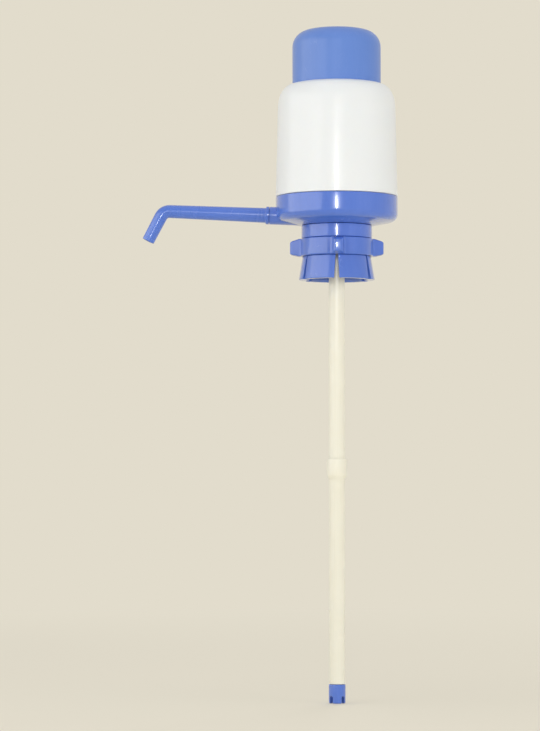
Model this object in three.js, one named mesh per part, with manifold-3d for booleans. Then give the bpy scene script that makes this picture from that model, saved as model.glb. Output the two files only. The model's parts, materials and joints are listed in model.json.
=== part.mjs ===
// Hand pump for a large drinking-water bottle, in millimetres, +Z up.
// The origin is on the pump's axis, at the face where the bottle's rim meets the neck gasket.
// The spout points along -X, and the front of the pump faces -Y.
import * as THREE from "three";
import { mergeVertices } from "three/addons/utils/BufferGeometryUtils.js";
import Module from "manifold-3d";

const wasm = await Module();
wasm.setup();

// Gaps between pieces
const seatGap = 0.3; // between faces that rest on each other
const slideGap = 0.6; // between the pump head and the mouth of its case
const ringGap = 0.25; // round a sealing ring in its groove
const cutOverrun = 1; // how far a cutter passes the face that it opens
const rootSink = 0.5; // how far an added form reaches into the wall that carries it

// The bottle neck that the adapter grips
const bottleNeckRadius = 27.5;
const neckClearance = 1.5;

// Neck gasket
const gasketThickness = 3;
const gasketHoleRadius = 14;
const gasketStep = 1.2; // height of the lower part that passes through the adapter's ledge

// Adapter: a band that snaps on the base, a thread for the nut, and jaws that grip the neck
const adapterLedge = 1;
const bandWall = 3.6;
const bandHeight = 12.4;
const bandEdge = 0.6;
const threadWall = 2.5;
const threadDepth = 1;
const threadPitch = 5;
const threadRootWidth = 2.6;
const threadCrestWidth = 1;
const jawLength = 22.2;
const jawFlare = 3.75;
const jawEdge = 1.2;
const jawLipDepth = 0.8;
const jawLipHeight = 3;
const slitCount = 6;
const slitTopWidth = 1.8;
const slitMouthWidth = 4.8;
const slitUnderNut = 4;
const snapDepth = 0.7;
const snapHeight = 2.4;

// Locking nut
const nutWall = 2.2;
const nutHeight = 16.5;
const nutEdge = 1;
const lugCount = 4;
const lugReach = 9.5;
const lugRootWidth = 12;
const lugTipWidth = 7.6;
const lugCorner = 1.6;
const lugTurnDegrees = 2;

// Base
const collarWall = 3;
const collarLength = 10.7;
const bowlFootMargin = 0.6;
const bowlFloor = 3;
const bowlSlopeHeight = 3.4;
const bowlCornerWidth = 6.5;
const bowlCornerHeight = 7.9;
const baseHeight = 27;
const rimWall = 2.8;
const rimEdge = 0.8;
const seatRingWall = 4;
const bossRadius = 3.6;
const airHoleRadius = 3.5;
const airHoleCircle = 18;
const airHoleDegrees = [-60, 0, 60];

// Water way through the base
const channelWall = 3.4;
const channelBore = 3.6;
const spoutTiltDegrees = 2.5;
const socketWall = 2;
const socketDepth = 18;
const socketReach = 6;
const nozzleLength = 24; // of the nozzle under the base that the upper tube is pushed on
const nozzleBore = 3.2;

// Pump head
const headRadius = 42.1;
const headWall = 2.5;
const headCeiling = 3;
const headRise = 52; // of the head above the mouth of its case
const headCornerRadius = 15.5;
const headFlangeWidth = 3.5;
const headFlangeThickness = 3.4;
const ventCount = 3;
const ventWidth = 10;
const ventHeight = 2.4;

// Cylinder case
const caseShoulderWidth = 13.3;
const caseShoulderHeight = 21;
const caseDraft = 2;
const caseWall = 2.5;
const caseLip = 3;
const caseHeight = 106.7;
const caseSpigotHeight = 6.5;
const caseSpigotWall = 2.4;

// Bellows
const bellowsGap = 4.5;
const bellowsWall = 1.5;
const bellowsFlange = 2;
const foldDepth = 8.5;
const foldCount = 5;
const foldFlat = 2;

// Plates that clamp the bellows, with their valves and screws
const plateThickness = 3;
const plateGap = 1.5;
const springRingWall = 2;
const springRingHeight = 2.5;
const outletValveOffset = 14;
const valveRadius = 8;
const valveThickness = 1.6;
const valveTravel = 1.5;
const valveStemRadius = 1.4;
const valveBulbRadius = 2.4;
const valveBulbHeight = 2.6;
const portCount = 5;
const portRadius = 1.7;
const portCircle = 5.2;
const baseScrewCount = 4;
const baseScrewTurn = 45; // degrees
const headScrewCount = 3;
const headScrewTurn = 60; // degrees
const screwMargin = 1.8;
const screwHeadRadius = 3.2;
const screwTopShare = 0.7; // of the head's radius, where its dome ends
const screwHeadHeight = 2.2;
const screwShankRadius = 1.3;
const screwLength = 12;
const recessWidth = 0.9;
const recessDepth = 1;

// Return spring
const springMargin = 3.7;
const wireRadius = 1.1;
const springTurns = 7;

// Spout
const spoutNozzleLength = 17;
const spoutNozzleBore = 3.4;
const spoutNozzleWall = 1.2; // under the grooves of its sealing rings
const spoutCollar = 3;
const armLength = 101;
const armRootRadius = 7.1;
const armTipRadius = 6.2;
const armBore = 4.1;
const elbowRadius = 9;
const elbowDegrees = 65;
const legLength = 26.5;
const legTipRadius = 5.9;
const legTipBore = 4.5;
const sealSection = 1.3;
const spoutSealPlaces = [5, 10.5]; // from the socket's mouth

// Water tubes and foot
const tubeRadius = 7.55;
const tubeWall = 1.5;
const upperTubeLength = 236.7;
const lowerTubeLength = 212.3;
const tubeSocketDepth = 15.7;
const tubeSocketWall = 1.7;
const tubeSocketTaper = 4;
const footHeight = 17.8;
const footProud = 0.45;
const footNozzleHeight = 12;
const footBore = 4.3;
const footSlotCount = 4;
const footSlotWidth = 4;
const footSlotHeight = 7;
const footEdge = 1;
const tubeSealDepth = 16; // of the tube's sealing ring below the base

// Smoothness of round forms
const shellSides = 40;
const neckSides = 32;
const plateSides = 26;
const bellowsSides = 24;
const tubeSides = 20;
const spoutSides = 16;
const smallSides = 10;
const cornerSteps = 5;
const wireSides = 6;
const coilSteps = 12;
const threadFadeSteps = 6;
const mergeTolerance = 1e-4;

// Radii that follow from the sizes above
const spoutTilt = THREE.MathUtils.degToRad(spoutTiltDegrees);
const jawBore = bottleNeckRadius + neckClearance;
const threadRoot = jawBore + threadWall;
const threadCrest = threadRoot + threadDepth;
const nutBore = threadCrest + seatGap;
const nutRadius = nutBore + nutWall;
const bandBore = jawBore + adapterLedge;
const bandRadius = bandBore + bandWall;
const collarRadius = bandBore - seatGap;
const mouthRadius = headRadius + slideGap;
const caseTopRadius = mouthRadius + caseShoulderWidth;
const caseBottomRadius = caseTopRadius + caseDraft;
const rimBore = caseBottomRadius - rimWall;
const bellowsCrest = caseTopRadius - caseWall - bellowsGap;
const bellowsRoot = bellowsCrest - foldDepth;
const bellowsHole = bellowsRoot - bellowsWall;
const plateRadius = bellowsCrest - bellowsWall - plateGap;
const screwCircle = bellowsHole - screwMargin - screwHeadRadius;
const springRadius = screwCircle - screwHeadRadius - springMargin - wireRadius;
const springRingRadius = (springRadius - wireRadius) * Math.cos(Math.PI / coilSteps) - seatGap;
const pilotRadius = screwShankRadius + seatGap;
const tubeBore = tubeRadius - tubeWall;
const nozzleRadius = tubeBore - seatGap;
const sealGroove = sealSection + ringGap;
const spoutNozzleRadius = spoutNozzleBore + spoutNozzleWall + sealGroove;
const socketBore = spoutNozzleRadius + seatGap;
const socketRadius = socketBore + socketWall;
const channelRadius = channelBore + channelWall;
const bowlFoot = bandRadius + bowlFootMargin;
const seatRadius = (bellowsCrest + bellowsHole) / 2;

// Heights that follow, from the gasket's lower face
const baseUnderside = gasketThickness + seatGap + collarLength;
const bandTop = baseUnderside - seatGap;
const bandBottom = bandTop - bandHeight;
const nutTop = bandBottom - seatGap;
const nutBottom = nutTop - nutHeight;
const jawTop = nutBottom - seatGap;
const jawBottom = jawTop - jawLength;
const socketMouth = caseBottomRadius + socketReach; // distance from the axis, along the channel
const bellowsSeat = channelRadius + bellowsCrest * Math.tan(spoutTilt) + socketRadius; // above the underside
const bellowsBottom = baseUnderside + bellowsSeat + seatGap;
const lowerPlateZ = bellowsBottom + bellowsFlange + seatGap;
const pillarTop = lowerPlateZ - seatGap - baseUnderside; // above the base's underside
const caseBottom = baseUnderside + baseHeight + seatGap;
const caseTop = caseBottom + caseHeight;
const headBottom = caseTop - caseLip - seatGap - headFlangeThickness;
const headTop = caseTop + headRise;
const bellowsTop = headBottom - seatGap;
const upperPlateZ = bellowsTop - bellowsFlange - seatGap - plateThickness;
const upperTubeTop = baseUnderside - seatGap;
const upperTubeBottom = upperTubeTop - upperTubeLength;
const lowerTubeTop = upperTubeBottom - seatGap + tubeSocketDepth;
const lowerTubeBottom = lowerTubeTop - lowerTubeLength;
const footTop = lowerTubeBottom - seatGap;

const plastic = (color, roughness) => new THREE.MeshStandardMaterial({ color, roughness, metalness: 0 });
const steel = (color, roughness) => new THREE.MeshStandardMaterial({ color, roughness, metalness: 1 });
const bluePlastic = plastic(0x5f7fd0, 0.32);
const whitePlastic = plastic(0xf1f2ee, 0.3);
const tubePlastic = plastic(0xf3f0e2, 0.4);
const platePlastic = plastic(0xe4e6e6, 0.45);
const bellowsRubber = plastic(0xb9bdc2, 0.6);
const sealRubber = plastic(0x2b2c2e, 0.7);
const valveRubber = plastic(0xa9483a, 0.6);
const springSteel = steel(0xb8bcc0, 0.3);
const screwSteel = steel(0xc7c9cb, 0.35);

/** Turns a closed three.js geometry into a solid that can be joined and cut. */
function solid(geometry) {
  const loose = geometry.index ? geometry.toNonIndexed() : geometry;
  const bare = new THREE.BufferGeometry();
  bare.setAttribute("position", loose.getAttribute("position"));
  const merged = mergeVertices(bare, mergeTolerance);
  const corners = merged.index.array;
  const kept = [];
  for (let i = 0; i < corners.length; i += 3) {
    const [a, b, c] = corners.slice(i, i + 3);
    if (a !== b && b !== c && c !== a) kept.push(a, b, c);
  }
  return new wasm.Manifold(
    new wasm.Mesh({
      numProp: 3,
      vertProperties: merged.getAttribute("position").array,
      triVerts: new Uint32Array(kept),
    }),
  );
}

/** A named mesh of a solid, with its origin at the given place. */
function piece(name, made, material, place = [0, 0, 0]) {
  const { numProp, vertProperties, triVerts, numVert } = made.getMesh();
  const positions = new Float32Array(numVert * 3);
  for (let i = 0; i < numVert; i++) {
    positions.set(vertProperties.subarray(i * numProp, i * numProp + 3), i * 3);
  }
  const geometry = new THREE.BufferGeometry();
  geometry.setAttribute("position", new THREE.BufferAttribute(positions, 3));
  geometry.setIndex(new THREE.BufferAttribute(triVerts, 1));
  geometry.computeVertexNormals();
  const mesh = new THREE.Mesh(geometry, material);
  mesh.name = name;
  mesh.position.set(...place);
  return mesh;
}

/** Joins solids into one. */
const join = (first, ...others) => others.reduce((whole, other) => whole.add(other), first);

/** Cuts solids away from the first. */
const cut = (first, ...others) => others.reduce((whole, other) => whole.subtract(other), first);

/** Turns a closed profile of [radius, height] points about the Z axis. */
function revolve(profile, sides) {
  const area = profile.reduce((sum, [r, z], i) => {
    const [nextR, nextZ] = profile[(i + 1) % profile.length];
    return sum + r * nextZ - nextR * z;
  }, 0);
  const turned = area > 0 ? profile : [...profile].reverse();
  const loop = [...turned, turned[0]].map(([r, z]) => new THREE.Vector2(r, z));
  return new THREE.LatheGeometry(loop, sides).rotateX(Math.PI / 2);
}

/** A solid of revolution about Z. */
const turned = (profile, sides) => solid(revolve(profile, sides));

/** The geometry of an upright cylinder, from one height to another. */
const post = (radius, low, high, sides) =>
  revolve([[0, low], [radius, low], [radius, high], [0, high]], sides);

/** The geometry of an upright hollow cylinder. */
const sleeve = (bore, radius, low, high, sides) =>
  revolve([[bore, low], [radius, low], [radius, high], [bore, high]], sides);

/** Points of an arc in a profile, from one angle to another in degrees. rise makes it an ellipse. */
function arc(centreR, centreZ, radius, from, to, steps = cornerSteps, rise = radius) {
  return Array.from({ length: steps + 1 }, (_, i) => {
    const angle = THREE.MathUtils.degToRad(from + ((to - from) * i) / steps);
    return [centreR + radius * Math.cos(angle), centreZ + rise * Math.sin(angle)];
  });
}

/** Angles in radians of evenly spaced copies, the first turned by an offset in degrees. */
const spaced = (count, offset = 0) =>
  Array.from({ length: count }, (_, i) => THREE.MathUtils.degToRad(offset) + (i * 2 * Math.PI) / count);

/** The place on a circle about Z, at an angle. */
const onCircle = (radius, angle) => [radius * Math.cos(angle), radius * Math.sin(angle)];

/** Small upright cylinders on a circle about Z, one at each angle. */
const posts = (angles, circle, radius, low, high) =>
  angles.map((angle) => solid(post(radius, low, high, smallSides).translate(...onCircle(circle, angle), 0)));

/** An upright extrusion of a flat outline of [x, y] points. */
function extruded(outline, low, high) {
  const shape = new THREE.Shape(outline.map(([x, y]) => new THREE.Vector2(x, y)));
  return new THREE.ExtrudeGeometry(shape, { depth: high - low, bevelEnabled: false }).translate(0, 0, low);
}

/** An outline in the plane of Y and Z, extruded outwards along X. */
function extrudedOutwards(outline, near, far) {
  const turn = new THREE.Matrix4().makeBasis(
    new THREE.Vector3(0, 1, 0),
    new THREE.Vector3(0, 0, 1),
    new THREE.Vector3(1, 0, 0),
  );
  return extruded(outline, near, far).applyMatrix4(turn);
}

/** Lays an upright geometry along the spout's channel: its height becomes the distance from the axis. */
const alongChannel = (geometry) =>
  geometry.rotateY(-Math.PI / 2).rotateY(spoutTilt).translate(0, 0, channelRadius);

/** Joins rings of points into one closed surface, with each ring bound to the next. */
function skin(rings, closed) {
  const sides = rings[0].length;
  const positions = rings.flat(2);
  const index = [];
  const spans = closed ? rings.length : rings.length - 1;
  for (let i = 0; i < spans; i++) {
    const here = i * sides;
    const next = ((i + 1) % rings.length) * sides;
    for (let k = 0; k < sides; k++) {
      const turn = (k + 1) % sides;
      index.push(here + k, here + turn, next + turn, here + k, next + turn, next + k);
    }
  }
  if (!closed) {
    const last = (rings.length - 1) * sides;
    for (let k = 1; k < sides - 1; k++) {
      index.push(0, k + 1, k);
      index.push(last, last + k, last + k + 1);
    }
  }
  const geometry = new THREE.BufferGeometry();
  geometry.setAttribute("position", new THREE.BufferAttribute(new Float32Array(positions), 3));
  geometry.setIndex(index);
  return geometry;
}

/** A bar with a section of [outwards, up] points, wound about Z. reach gives how far it stands out. */
function woundBar(section, radius, low, pitch, turns, stepsPerTurn, reach = () => 1) {
  const steps = Math.round(turns * stepsPerTurn);
  const clockwise = [...section].reverse();
  const rings = Array.from({ length: steps + 1 }, (_, i) => {
    const angle = (i / steps) * turns * 2 * Math.PI;
    const height = low + (i / steps) * turns * pitch;
    return clockwise.map(([out, up]) => [
      (radius + out * reach(i, steps)) * Math.cos(angle),
      (radius + out * reach(i, steps)) * Math.sin(angle),
      height + up,
    ]);
  });
  return skin(rings, false);
}

/** A hollow body through stations in the plane of X and Z, each with its place, heading, radius and bore. */
function sweptTube(stations) {
  const ring = ({ x, z, heading }, radius) =>
    Array.from({ length: spoutSides }, (_, k) => {
      const angle = (k / spoutSides) * 2 * Math.PI;
      const across = radius * Math.cos(angle);
      return [x + across * Math.sin(heading), radius * Math.sin(angle), z + across * Math.cos(heading)];
    });
  const outside = stations.map((s) => ring(s, s.radius));
  const inside = stations.map((s) => ring(s, s.bore)).reverse();
  return skin([...outside, ...inside], true);
}

/** The pressed cap: a skirt with a stop flange, vents, and pillars for the screws of its plate. */
function pumpHead() {
  const top = headTop - headBottom;
  const corner = Math.min(headCornerRadius, headRadius - headWall);
  const innerCorner = Math.max(corner - headWall, headWall);
  const inner = headRadius - headWall;
  const ceiling = top - headCeiling;
  const dome = [...arc(headRadius - corner, top - corner, corner, 0, 90, cornerSteps + 1), [0, top]];
  const shell = turned(
    [
      [inner, 0],
      [headRadius + headFlangeWidth, 0],
      [headRadius + headFlangeWidth, headFlangeThickness],
      [headRadius, headFlangeThickness],
      ...dome,
      [0, ceiling],
      ...arc(inner - innerCorner, ceiling - innerCorner, innerCorner, 90, 0, cornerSteps - 1),
    ],
    shellSides,
  );
  const foot = upperPlateZ + plateThickness + seatGap - headBottom;
  const filled = turned([[0, foot], [headRadius, foot], ...dome], shellSides);
  const pillars = posts(headScrewAngles, screwCircle, bossRadius, foot, ceiling + rootSink).map((pillar) =>
    pillar.intersect(filled),
  );
  const pilots = posts(headScrewAngles, screwCircle, pilotRadius, foot - cutOverrun, foot + screwLength);
  const vents = spaced(ventCount).map((angle) =>
    solid(
      new THREE.BoxGeometry(headWall + 2 * cutOverrun, ventWidth, ventHeight)
        .translate(headRadius - headWall / 2, 0, headFlangeThickness + seatGap + ventHeight / 2)
        .rotateZ(angle),
    ),
  );
  const made = cut(join(shell, ...pillars), ...pilots, ...vents);
  return piece("pump_head", made, bluePlastic, [0, 0, headBottom]);
}

/** The white cover that the head slides in, with a rounded shoulder and a spigot that fits in the base. */
function cylinderCase() {
  const shoulder = caseHeight - caseShoulderHeight;
  const innerShoulder = caseShoulderWidth - caseWall;
  const innerRise = caseShoulderHeight - caseLip / 2;
  const spigotRadius = rimBore - seatGap;
  const shell = turned(
    [
      [spigotRadius - caseSpigotWall, -caseSpigotHeight],
      [spigotRadius, -caseSpigotHeight],
      [spigotRadius, 0],
      [caseBottomRadius - rimEdge, 0],
      [caseBottomRadius, rimEdge],
      ...arc(mouthRadius, shoulder, caseShoulderWidth, 0, 90, cornerSteps + 2, caseShoulderHeight),
      [mouthRadius, caseHeight - caseLip],
      ...arc(mouthRadius, shoulder, innerShoulder, 90, 0, cornerSteps - 1, innerRise)
        .slice(1)
        .map(([r, z]) => [r, Math.min(z, caseHeight - caseLip)]),
      [caseBottomRadius - caseWall, caseWall],
      [spigotRadius - caseSpigotWall, 0],
    ],
    shellSides,
  );
  return piece("cylinder_case", shell, whitePlastic, [0, 0, caseBottom]);
}

/** The folded rubber bellows, with a flat flange at each end. */
function bellows() {
  const length = bellowsTop - bellowsBottom;
  const endZone = bellowsFlange + seatGap + plateThickness + plateGap;
  const foldPitch = (length - 2 * endZone - foldFlat) / foldCount;
  const flat = (radius, centre) => [
    [radius, centre - foldFlat / 2],
    [radius, centre + foldFlat / 2],
  ];
  const crestCentre = (i) => endZone + foldFlat / 2 + i * foldPitch;
  const folds = (crest, root) => [
    ...Array.from({ length: foldCount }, (_, i) => [
      ...flat(crest, crestCentre(i)),
      ...flat(root, crestCentre(i) + foldPitch / 2),
    ]).flat(),
    ...flat(crest, crestCentre(foldCount)),
  ];
  const profile = [
    [bellowsHole, 0],
    [bellowsCrest, 0],
    ...folds(bellowsCrest, bellowsRoot),
    [bellowsCrest, length],
    [bellowsHole, length],
    [bellowsHole, length - bellowsFlange],
    [bellowsCrest - bellowsWall, length - bellowsFlange],
    ...folds(bellowsCrest - bellowsWall, bellowsRoot - bellowsWall).reverse(),
    [bellowsCrest - bellowsWall, bellowsFlange],
    [bellowsHole, bellowsFlange],
  ];
  return piece("bellows", turned(profile, bellowsSides), bellowsRubber, [0, 0, bellowsBottom]);
}

/** A plate that clamps an end of the bellows, with ports at its valve and a ring that centres the spring. */
function clampPlate(name, height, screwAngles, valveOffset, ringLow, ringHigh) {
  const through = [-cutOverrun, plateThickness + cutOverrun];
  const ringBore = springRingRadius - springRingWall;
  const ring = solid(sleeve(ringBore, springRingRadius, ringLow, ringHigh, plateSides));
  const screwHoles = posts(screwAngles, screwCircle, pilotRadius, ...through);
  const ports = posts(spaced(portCount), portCircle, portRadius, ...through);
  const stemHole = solid(post(valveStemRadius + seatGap, ...through, smallSides));
  const valveHoles = [...ports, stemHole].map((hole) => hole.translate([valveOffset, 0, 0]));
  const disc = solid(post(plateRadius, 0, plateThickness, plateSides));
  return piece(name, cut(join(disc, ring), ...screwHoles, ...valveHoles), platePlastic, [0, 0, height]);
}

/** A rubber flap valve under its plate: a dished disc, a stem through the plate and a bulb that holds it. */
function flapValve(name, x, plateZ) {
  const bulbFoot = plateThickness + valveTravel + seatGap;
  const made = turned(
    [
      [0, -seatGap - valveThickness],
      [valveRadius / 2, -seatGap - valveThickness],
      [valveRadius, -seatGap - valveThickness / 2],
      [valveRadius, -seatGap],
      [valveStemRadius, -seatGap],
      [valveStemRadius, bulbFoot],
      [valveBulbRadius, bulbFoot],
      [valveStemRadius, bulbFoot + valveBulbHeight],
      [0, bulbFoot + valveBulbHeight],
    ],
    smallSides + smallSides / 2,
  );
  return piece(name, made, valveRubber, [x, 0, plateZ]);
}

/** A pan-head screw that points up, with its head under the face at height 0. */
function screwSolid() {
  const body = turned(
    [
      [0, -seatGap - screwHeadHeight],
      [screwHeadRadius * screwTopShare, -seatGap - screwHeadHeight],
      [screwHeadRadius, -seatGap - screwHeadHeight / 2],
      [screwHeadRadius, -seatGap],
      [screwShankRadius, -seatGap],
      [screwShankRadius, screwLength - screwShankRadius],
      [0, screwLength],
    ],
    smallSides,
  );
  const height = recessDepth + cutOverrun;
  const middle = recessDepth - seatGap - screwHeadHeight - height / 2;
  const bar = (width, depth) => solid(new THREE.BoxGeometry(width, depth, height).translate(0, 0, middle));
  return cut(body, bar(screwHeadRadius, recessWidth), bar(recessWidth, screwHeadRadius));
}

/** Screws on the circle of a plate. down turns them so that their heads are on top. */
function screws(name, angles, faceZ, down) {
  return angles.map((angle, i) => {
    const place = [...onCircle(screwCircle, angle), faceZ];
    const mesh = piece(`${name}_${i + 1}`, screwSolid(), screwSteel, place);
    if (down) mesh.rotation.x = Math.PI;
    return mesh;
  });
}

/** The steel return spring between the two plates. */
function returnSpring() {
  const low = lowerPlateZ + plateThickness + seatGap + wireRadius;
  const high = upperPlateZ - seatGap - wireRadius;
  const section = spaced(wireSides).map((angle) => onCircle(wireRadius, angle));
  const bar = woundBar(section, springRadius, 0, (high - low) / springTurns, springTurns, coilSteps);
  return piece("return_spring", solid(bar), springSteel, [0, 0, low]);
}

/** The rounded lower corner of the base's bowl, from its slope to its side. */
const bowlCorner = () =>
  new THREE.QuadraticBezierCurve(
    new THREE.Vector2(caseBottomRadius - bowlCornerWidth, bowlSlopeHeight),
    new THREE.Vector2(caseBottomRadius, bowlSlopeHeight + bowlCornerHeight / 6),
    new THREE.Vector2(caseBottomRadius, bowlSlopeHeight + bowlCornerHeight),
  )
    .getPoints(cornerSteps)
    .map((point) => [point.x, point.y]);

/** The thin-walled bowl of the base, with its rim. */
function bowlShell() {
  return turned(
    [
      [0, 0],
      [bowlFoot, 0],
      ...bowlCorner(),
      [caseBottomRadius, baseHeight - rimEdge],
      [caseBottomRadius - rimEdge, baseHeight],
      [rimBore, baseHeight],
      [rimBore, bowlSlopeHeight + bowlCornerHeight],
      [caseBottomRadius - bowlCornerWidth, bowlSlopeHeight + bowlFloor],
      [bowlFoot, bowlFloor],
      [0, bowlFloor],
    ],
    shellSides,
  );
}

/** The collar under the base, with the snap bead that holds the adapter. */
function snapCollar() {
  const snapZ = -collarLength / 2;
  return turned(
    [
      [collarRadius - collarWall, rootSink],
      [collarRadius - collarWall, -collarLength],
      [collarRadius, -collarLength],
      [collarRadius, snapZ - snapHeight / 2],
      [collarRadius + snapDepth, snapZ],
      [collarRadius, snapZ + snapHeight / 2],
      [collarRadius, rootSink],
    ],
    neckSides,
  );
}

/** The nozzle under the base that carries the upper tube, with the groove of its sealing ring. */
function tubeNozzle() {
  const grooveTop = sealSection / 2 + ringGap - tubeSealDepth;
  const grooveFoot = grooveTop - sealSection - 2 * ringGap;
  return turned(
    [
      [0, bowlFloor],
      [0, -nozzleLength],
      [nozzleRadius - footEdge, -nozzleLength],
      [nozzleRadius, footEdge - nozzleLength],
      [nozzleRadius, grooveFoot],
      [nozzleRadius - sealGroove, grooveFoot],
      [nozzleRadius - sealGroove, grooveTop],
      [nozzleRadius, grooveTop],
      [nozzleRadius, bowlFloor],
    ],
    tubeSides,
  );
}

/** What stands on the floor of the bowl: the seat of the bellows, screw pillars and the water channel. */
function bowlFittings(socketFloor) {
  const seat = solid(
    sleeve(seatRadius - seatRingWall / 2, seatRadius + seatRingWall / 2, bowlFloor, bellowsSeat, plateSides),
  );
  const pillars = posts(baseScrewAngles, screwCircle, bossRadius, bowlFloor - rootSink, pillarTop);
  const channel = solid(alongChannel(post(channelRadius, 0, socketFloor, tubeSides)));
  const channelEnd = solid(
    new THREE.SphereGeometry(channelRadius, tubeSides, tubeSides / 2).translate(0, 0, channelRadius),
  );
  const filledBowl = turned(
    [[0, 0], [bowlFoot, 0], ...bowlCorner(), [caseBottomRadius, baseHeight], [0, baseHeight]],
    shellSides,
  );
  return join(seat, ...pillars, channel, channelEnd).intersect(filledBowl);
}

/** The boss of the spout's socket, cut away where the bellows sits. */
function spoutSocket() {
  const boss = solid(alongChannel(post(socketRadius, bowlFoot, socketMouth, tubeSides)));
  const bellowsRoom = solid(post(rimBore, bellowsSeat, baseHeight + socketRadius, shellSides));
  return cut(boss, bellowsRoom);
}

/** The blue base: bowl, collar for the adapter, nozzle for the tube and water channel to the spout. */
function base() {
  const socketFloor = socketMouth - socketDepth;
  const fittings = [bowlFittings(socketFloor), spoutSocket(), tubeNozzle()];
  const pilotFoot = pillarTop - screwLength;
  const pilots = posts(baseScrewAngles, screwCircle, pilotRadius, pilotFoot, pillarTop + cutOverrun);
  const airHoleAngles = airHoleDegrees.map(THREE.MathUtils.degToRad);
  const airHoles = posts(airHoleAngles, airHoleCircle, airHoleRadius, -cutOverrun, bowlFloor + cutOverrun);
  const socketHole = solid(alongChannel(post(socketBore, socketFloor, socketMouth + cutOverrun, tubeSides)));
  const channelHole = solid(alongChannel(post(channelBore, 0, socketFloor + cutOverrun, tubeSides)));
  const nozzleHole = solid(post(nozzleBore, -nozzleLength - cutOverrun, channelRadius, tubeSides));
  const whole = join(bowlShell(), snapCollar(), ...fittings);
  const made = cut(whole, ...pilots, ...airHoles, socketHole, channelHole, nozzleHole);
  return piece("base", made, bluePlastic, [0, 0, baseUnderside]);
}

/** The adapter: band, nut thread and six wedge jaws parted by slits that widen downwards. */
function adapter() {
  const outerBottom = threadCrest + jawFlare;
  const snapZ = baseUnderside - collarLength / 2;
  const ledgeTop = gasketStep - seatGap;
  const shell = turned(
    [
      [jawBore, ledgeTop],
      [jawBore, jawBottom + jawEdge + 2 * jawLipHeight],
      [jawBore - jawLipDepth, jawBottom + jawEdge + 1.5 * jawLipHeight],
      [jawBore - jawLipDepth, jawBottom + jawEdge + jawLipHeight / 2],
      [jawBore, jawBottom + jawEdge],
      [jawBore + jawEdge, jawBottom],
      [outerBottom - jawEdge, jawBottom],
      [outerBottom, jawBottom + jawEdge],
      [threadCrest, jawTop],
      [threadRoot, jawTop],
      [threadRoot, bandBottom],
      [bandRadius - bandEdge, bandBottom],
      [bandRadius, bandBottom + bandEdge],
      [bandRadius, bandTop - bandEdge],
      [bandRadius - bandEdge, bandTop],
      [bandBore, bandTop],
      [bandBore, snapZ + snapHeight / 2 + seatGap],
      [bandBore + snapDepth, snapZ + seatGap],
      [bandBore + snapDepth, snapZ - seatGap],
      [bandBore, snapZ - snapHeight / 2 - seatGap],
      [bandBore, ledgeTop],
    ],
    neckSides,
  );
  const section = [
    [-rootSink, -threadRootWidth / 2],
    [threadDepth, -threadCrestWidth / 2],
    [threadDepth, threadCrestWidth / 2],
    [-rootSink, threadRootWidth / 2],
  ];
  const threadLow = jawTop + threadRootWidth;
  const threadTurns = (bandBottom - threadRootWidth - threadLow) / threadPitch;
  const fade = (i, steps) => Math.min(1, (i + 1) / threadFadeSteps, (steps - i + 1) / threadFadeSteps);
  const thread = solid(woundBar(section, threadRoot, threadLow, threadPitch, threadTurns, neckSides, fade));
  const slitTop = jawTop + slitUnderNut;
  const slitFoot = jawBottom - cutOverrun;
  const slit = extrudedOutwards(
    [
      [-slitMouthWidth / 2, slitFoot],
      [slitMouthWidth / 2, slitFoot],
      [slitTopWidth / 2, slitTop],
      [0, slitTop + slitTopWidth / 2],
      [-slitTopWidth / 2, slitTop],
    ],
    jawBore - jawLipDepth - cutOverrun,
    outerBottom + cutOverrun,
  );
  const slits = spaced(slitCount, -90).map((angle) => solid(slit.clone().rotateZ(angle)));
  return piece("adapter", cut(join(shell, thread), ...slits), bluePlastic);
}

/** The locking nut, with four finger lugs. */
function lockingNut() {
  const ring = turned(
    [
      [nutBore + nutEdge, 0],
      [nutRadius - nutEdge, 0],
      [nutRadius, nutEdge],
      [nutRadius, nutHeight - nutEdge],
      [nutRadius - nutEdge, nutHeight],
      [nutBore, nutHeight],
      [nutBore, nutEdge],
    ],
    neckSides,
  );
  const tip = nutRadius + lugReach;
  const root = nutBore + rootSink;
  const outline = [
    [root, -lugRootWidth / 2],
    [nutRadius, -lugRootWidth / 2],
    [tip - lugCorner, -lugTipWidth / 2],
    [tip, -lugTipWidth / 2 + lugCorner],
    [tip, lugTipWidth / 2 - lugCorner],
    [tip - lugCorner, lugTipWidth / 2],
    [nutRadius, lugRootWidth / 2],
    [root, lugRootWidth / 2],
  ];
  const lugs = spaced(lugCount, lugTurnDegrees - 90).map((angle) =>
    solid(extruded(outline, nutEdge / 2, nutHeight - nutEdge / 2).rotateZ(angle)),
  );
  const hole = solid(post(nutBore, -cutOverrun, nutHeight + cutOverrun, neckSides));
  return piece("locking_nut", cut(join(ring, ...lugs), hole), bluePlastic, [0, 0, nutBottom]);
}

/** The stepped rubber washer that the bottle's rim presses against. */
function neckGasket() {
  const stepRadius = jawBore - seatGap;
  const made = turned(
    [
      [gasketHoleRadius, 0],
      [stepRadius, 0],
      [stepRadius, gasketStep],
      [collarRadius, gasketStep],
      [collarRadius, gasketThickness],
      [gasketHoleRadius, gasketThickness],
    ],
    plateSides,
  );
  return piece("neck_gasket", made, sealRubber);
}

/** A sealing ring that fills the space between a groove and a bore. */
function sealRing(name, grooveRadius, boreRadius) {
  const inner = grooveRadius + ringGap / 2;
  const outer = boreRadius - ringGap / 2;
  const section = Math.min(sealSection, outer - inner) / 2;
  const ring = new THREE.TorusGeometry((inner + outer) / 2, section, wireSides, spoutSides);
  return piece(name, solid(ring), sealRubber);
}

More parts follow.
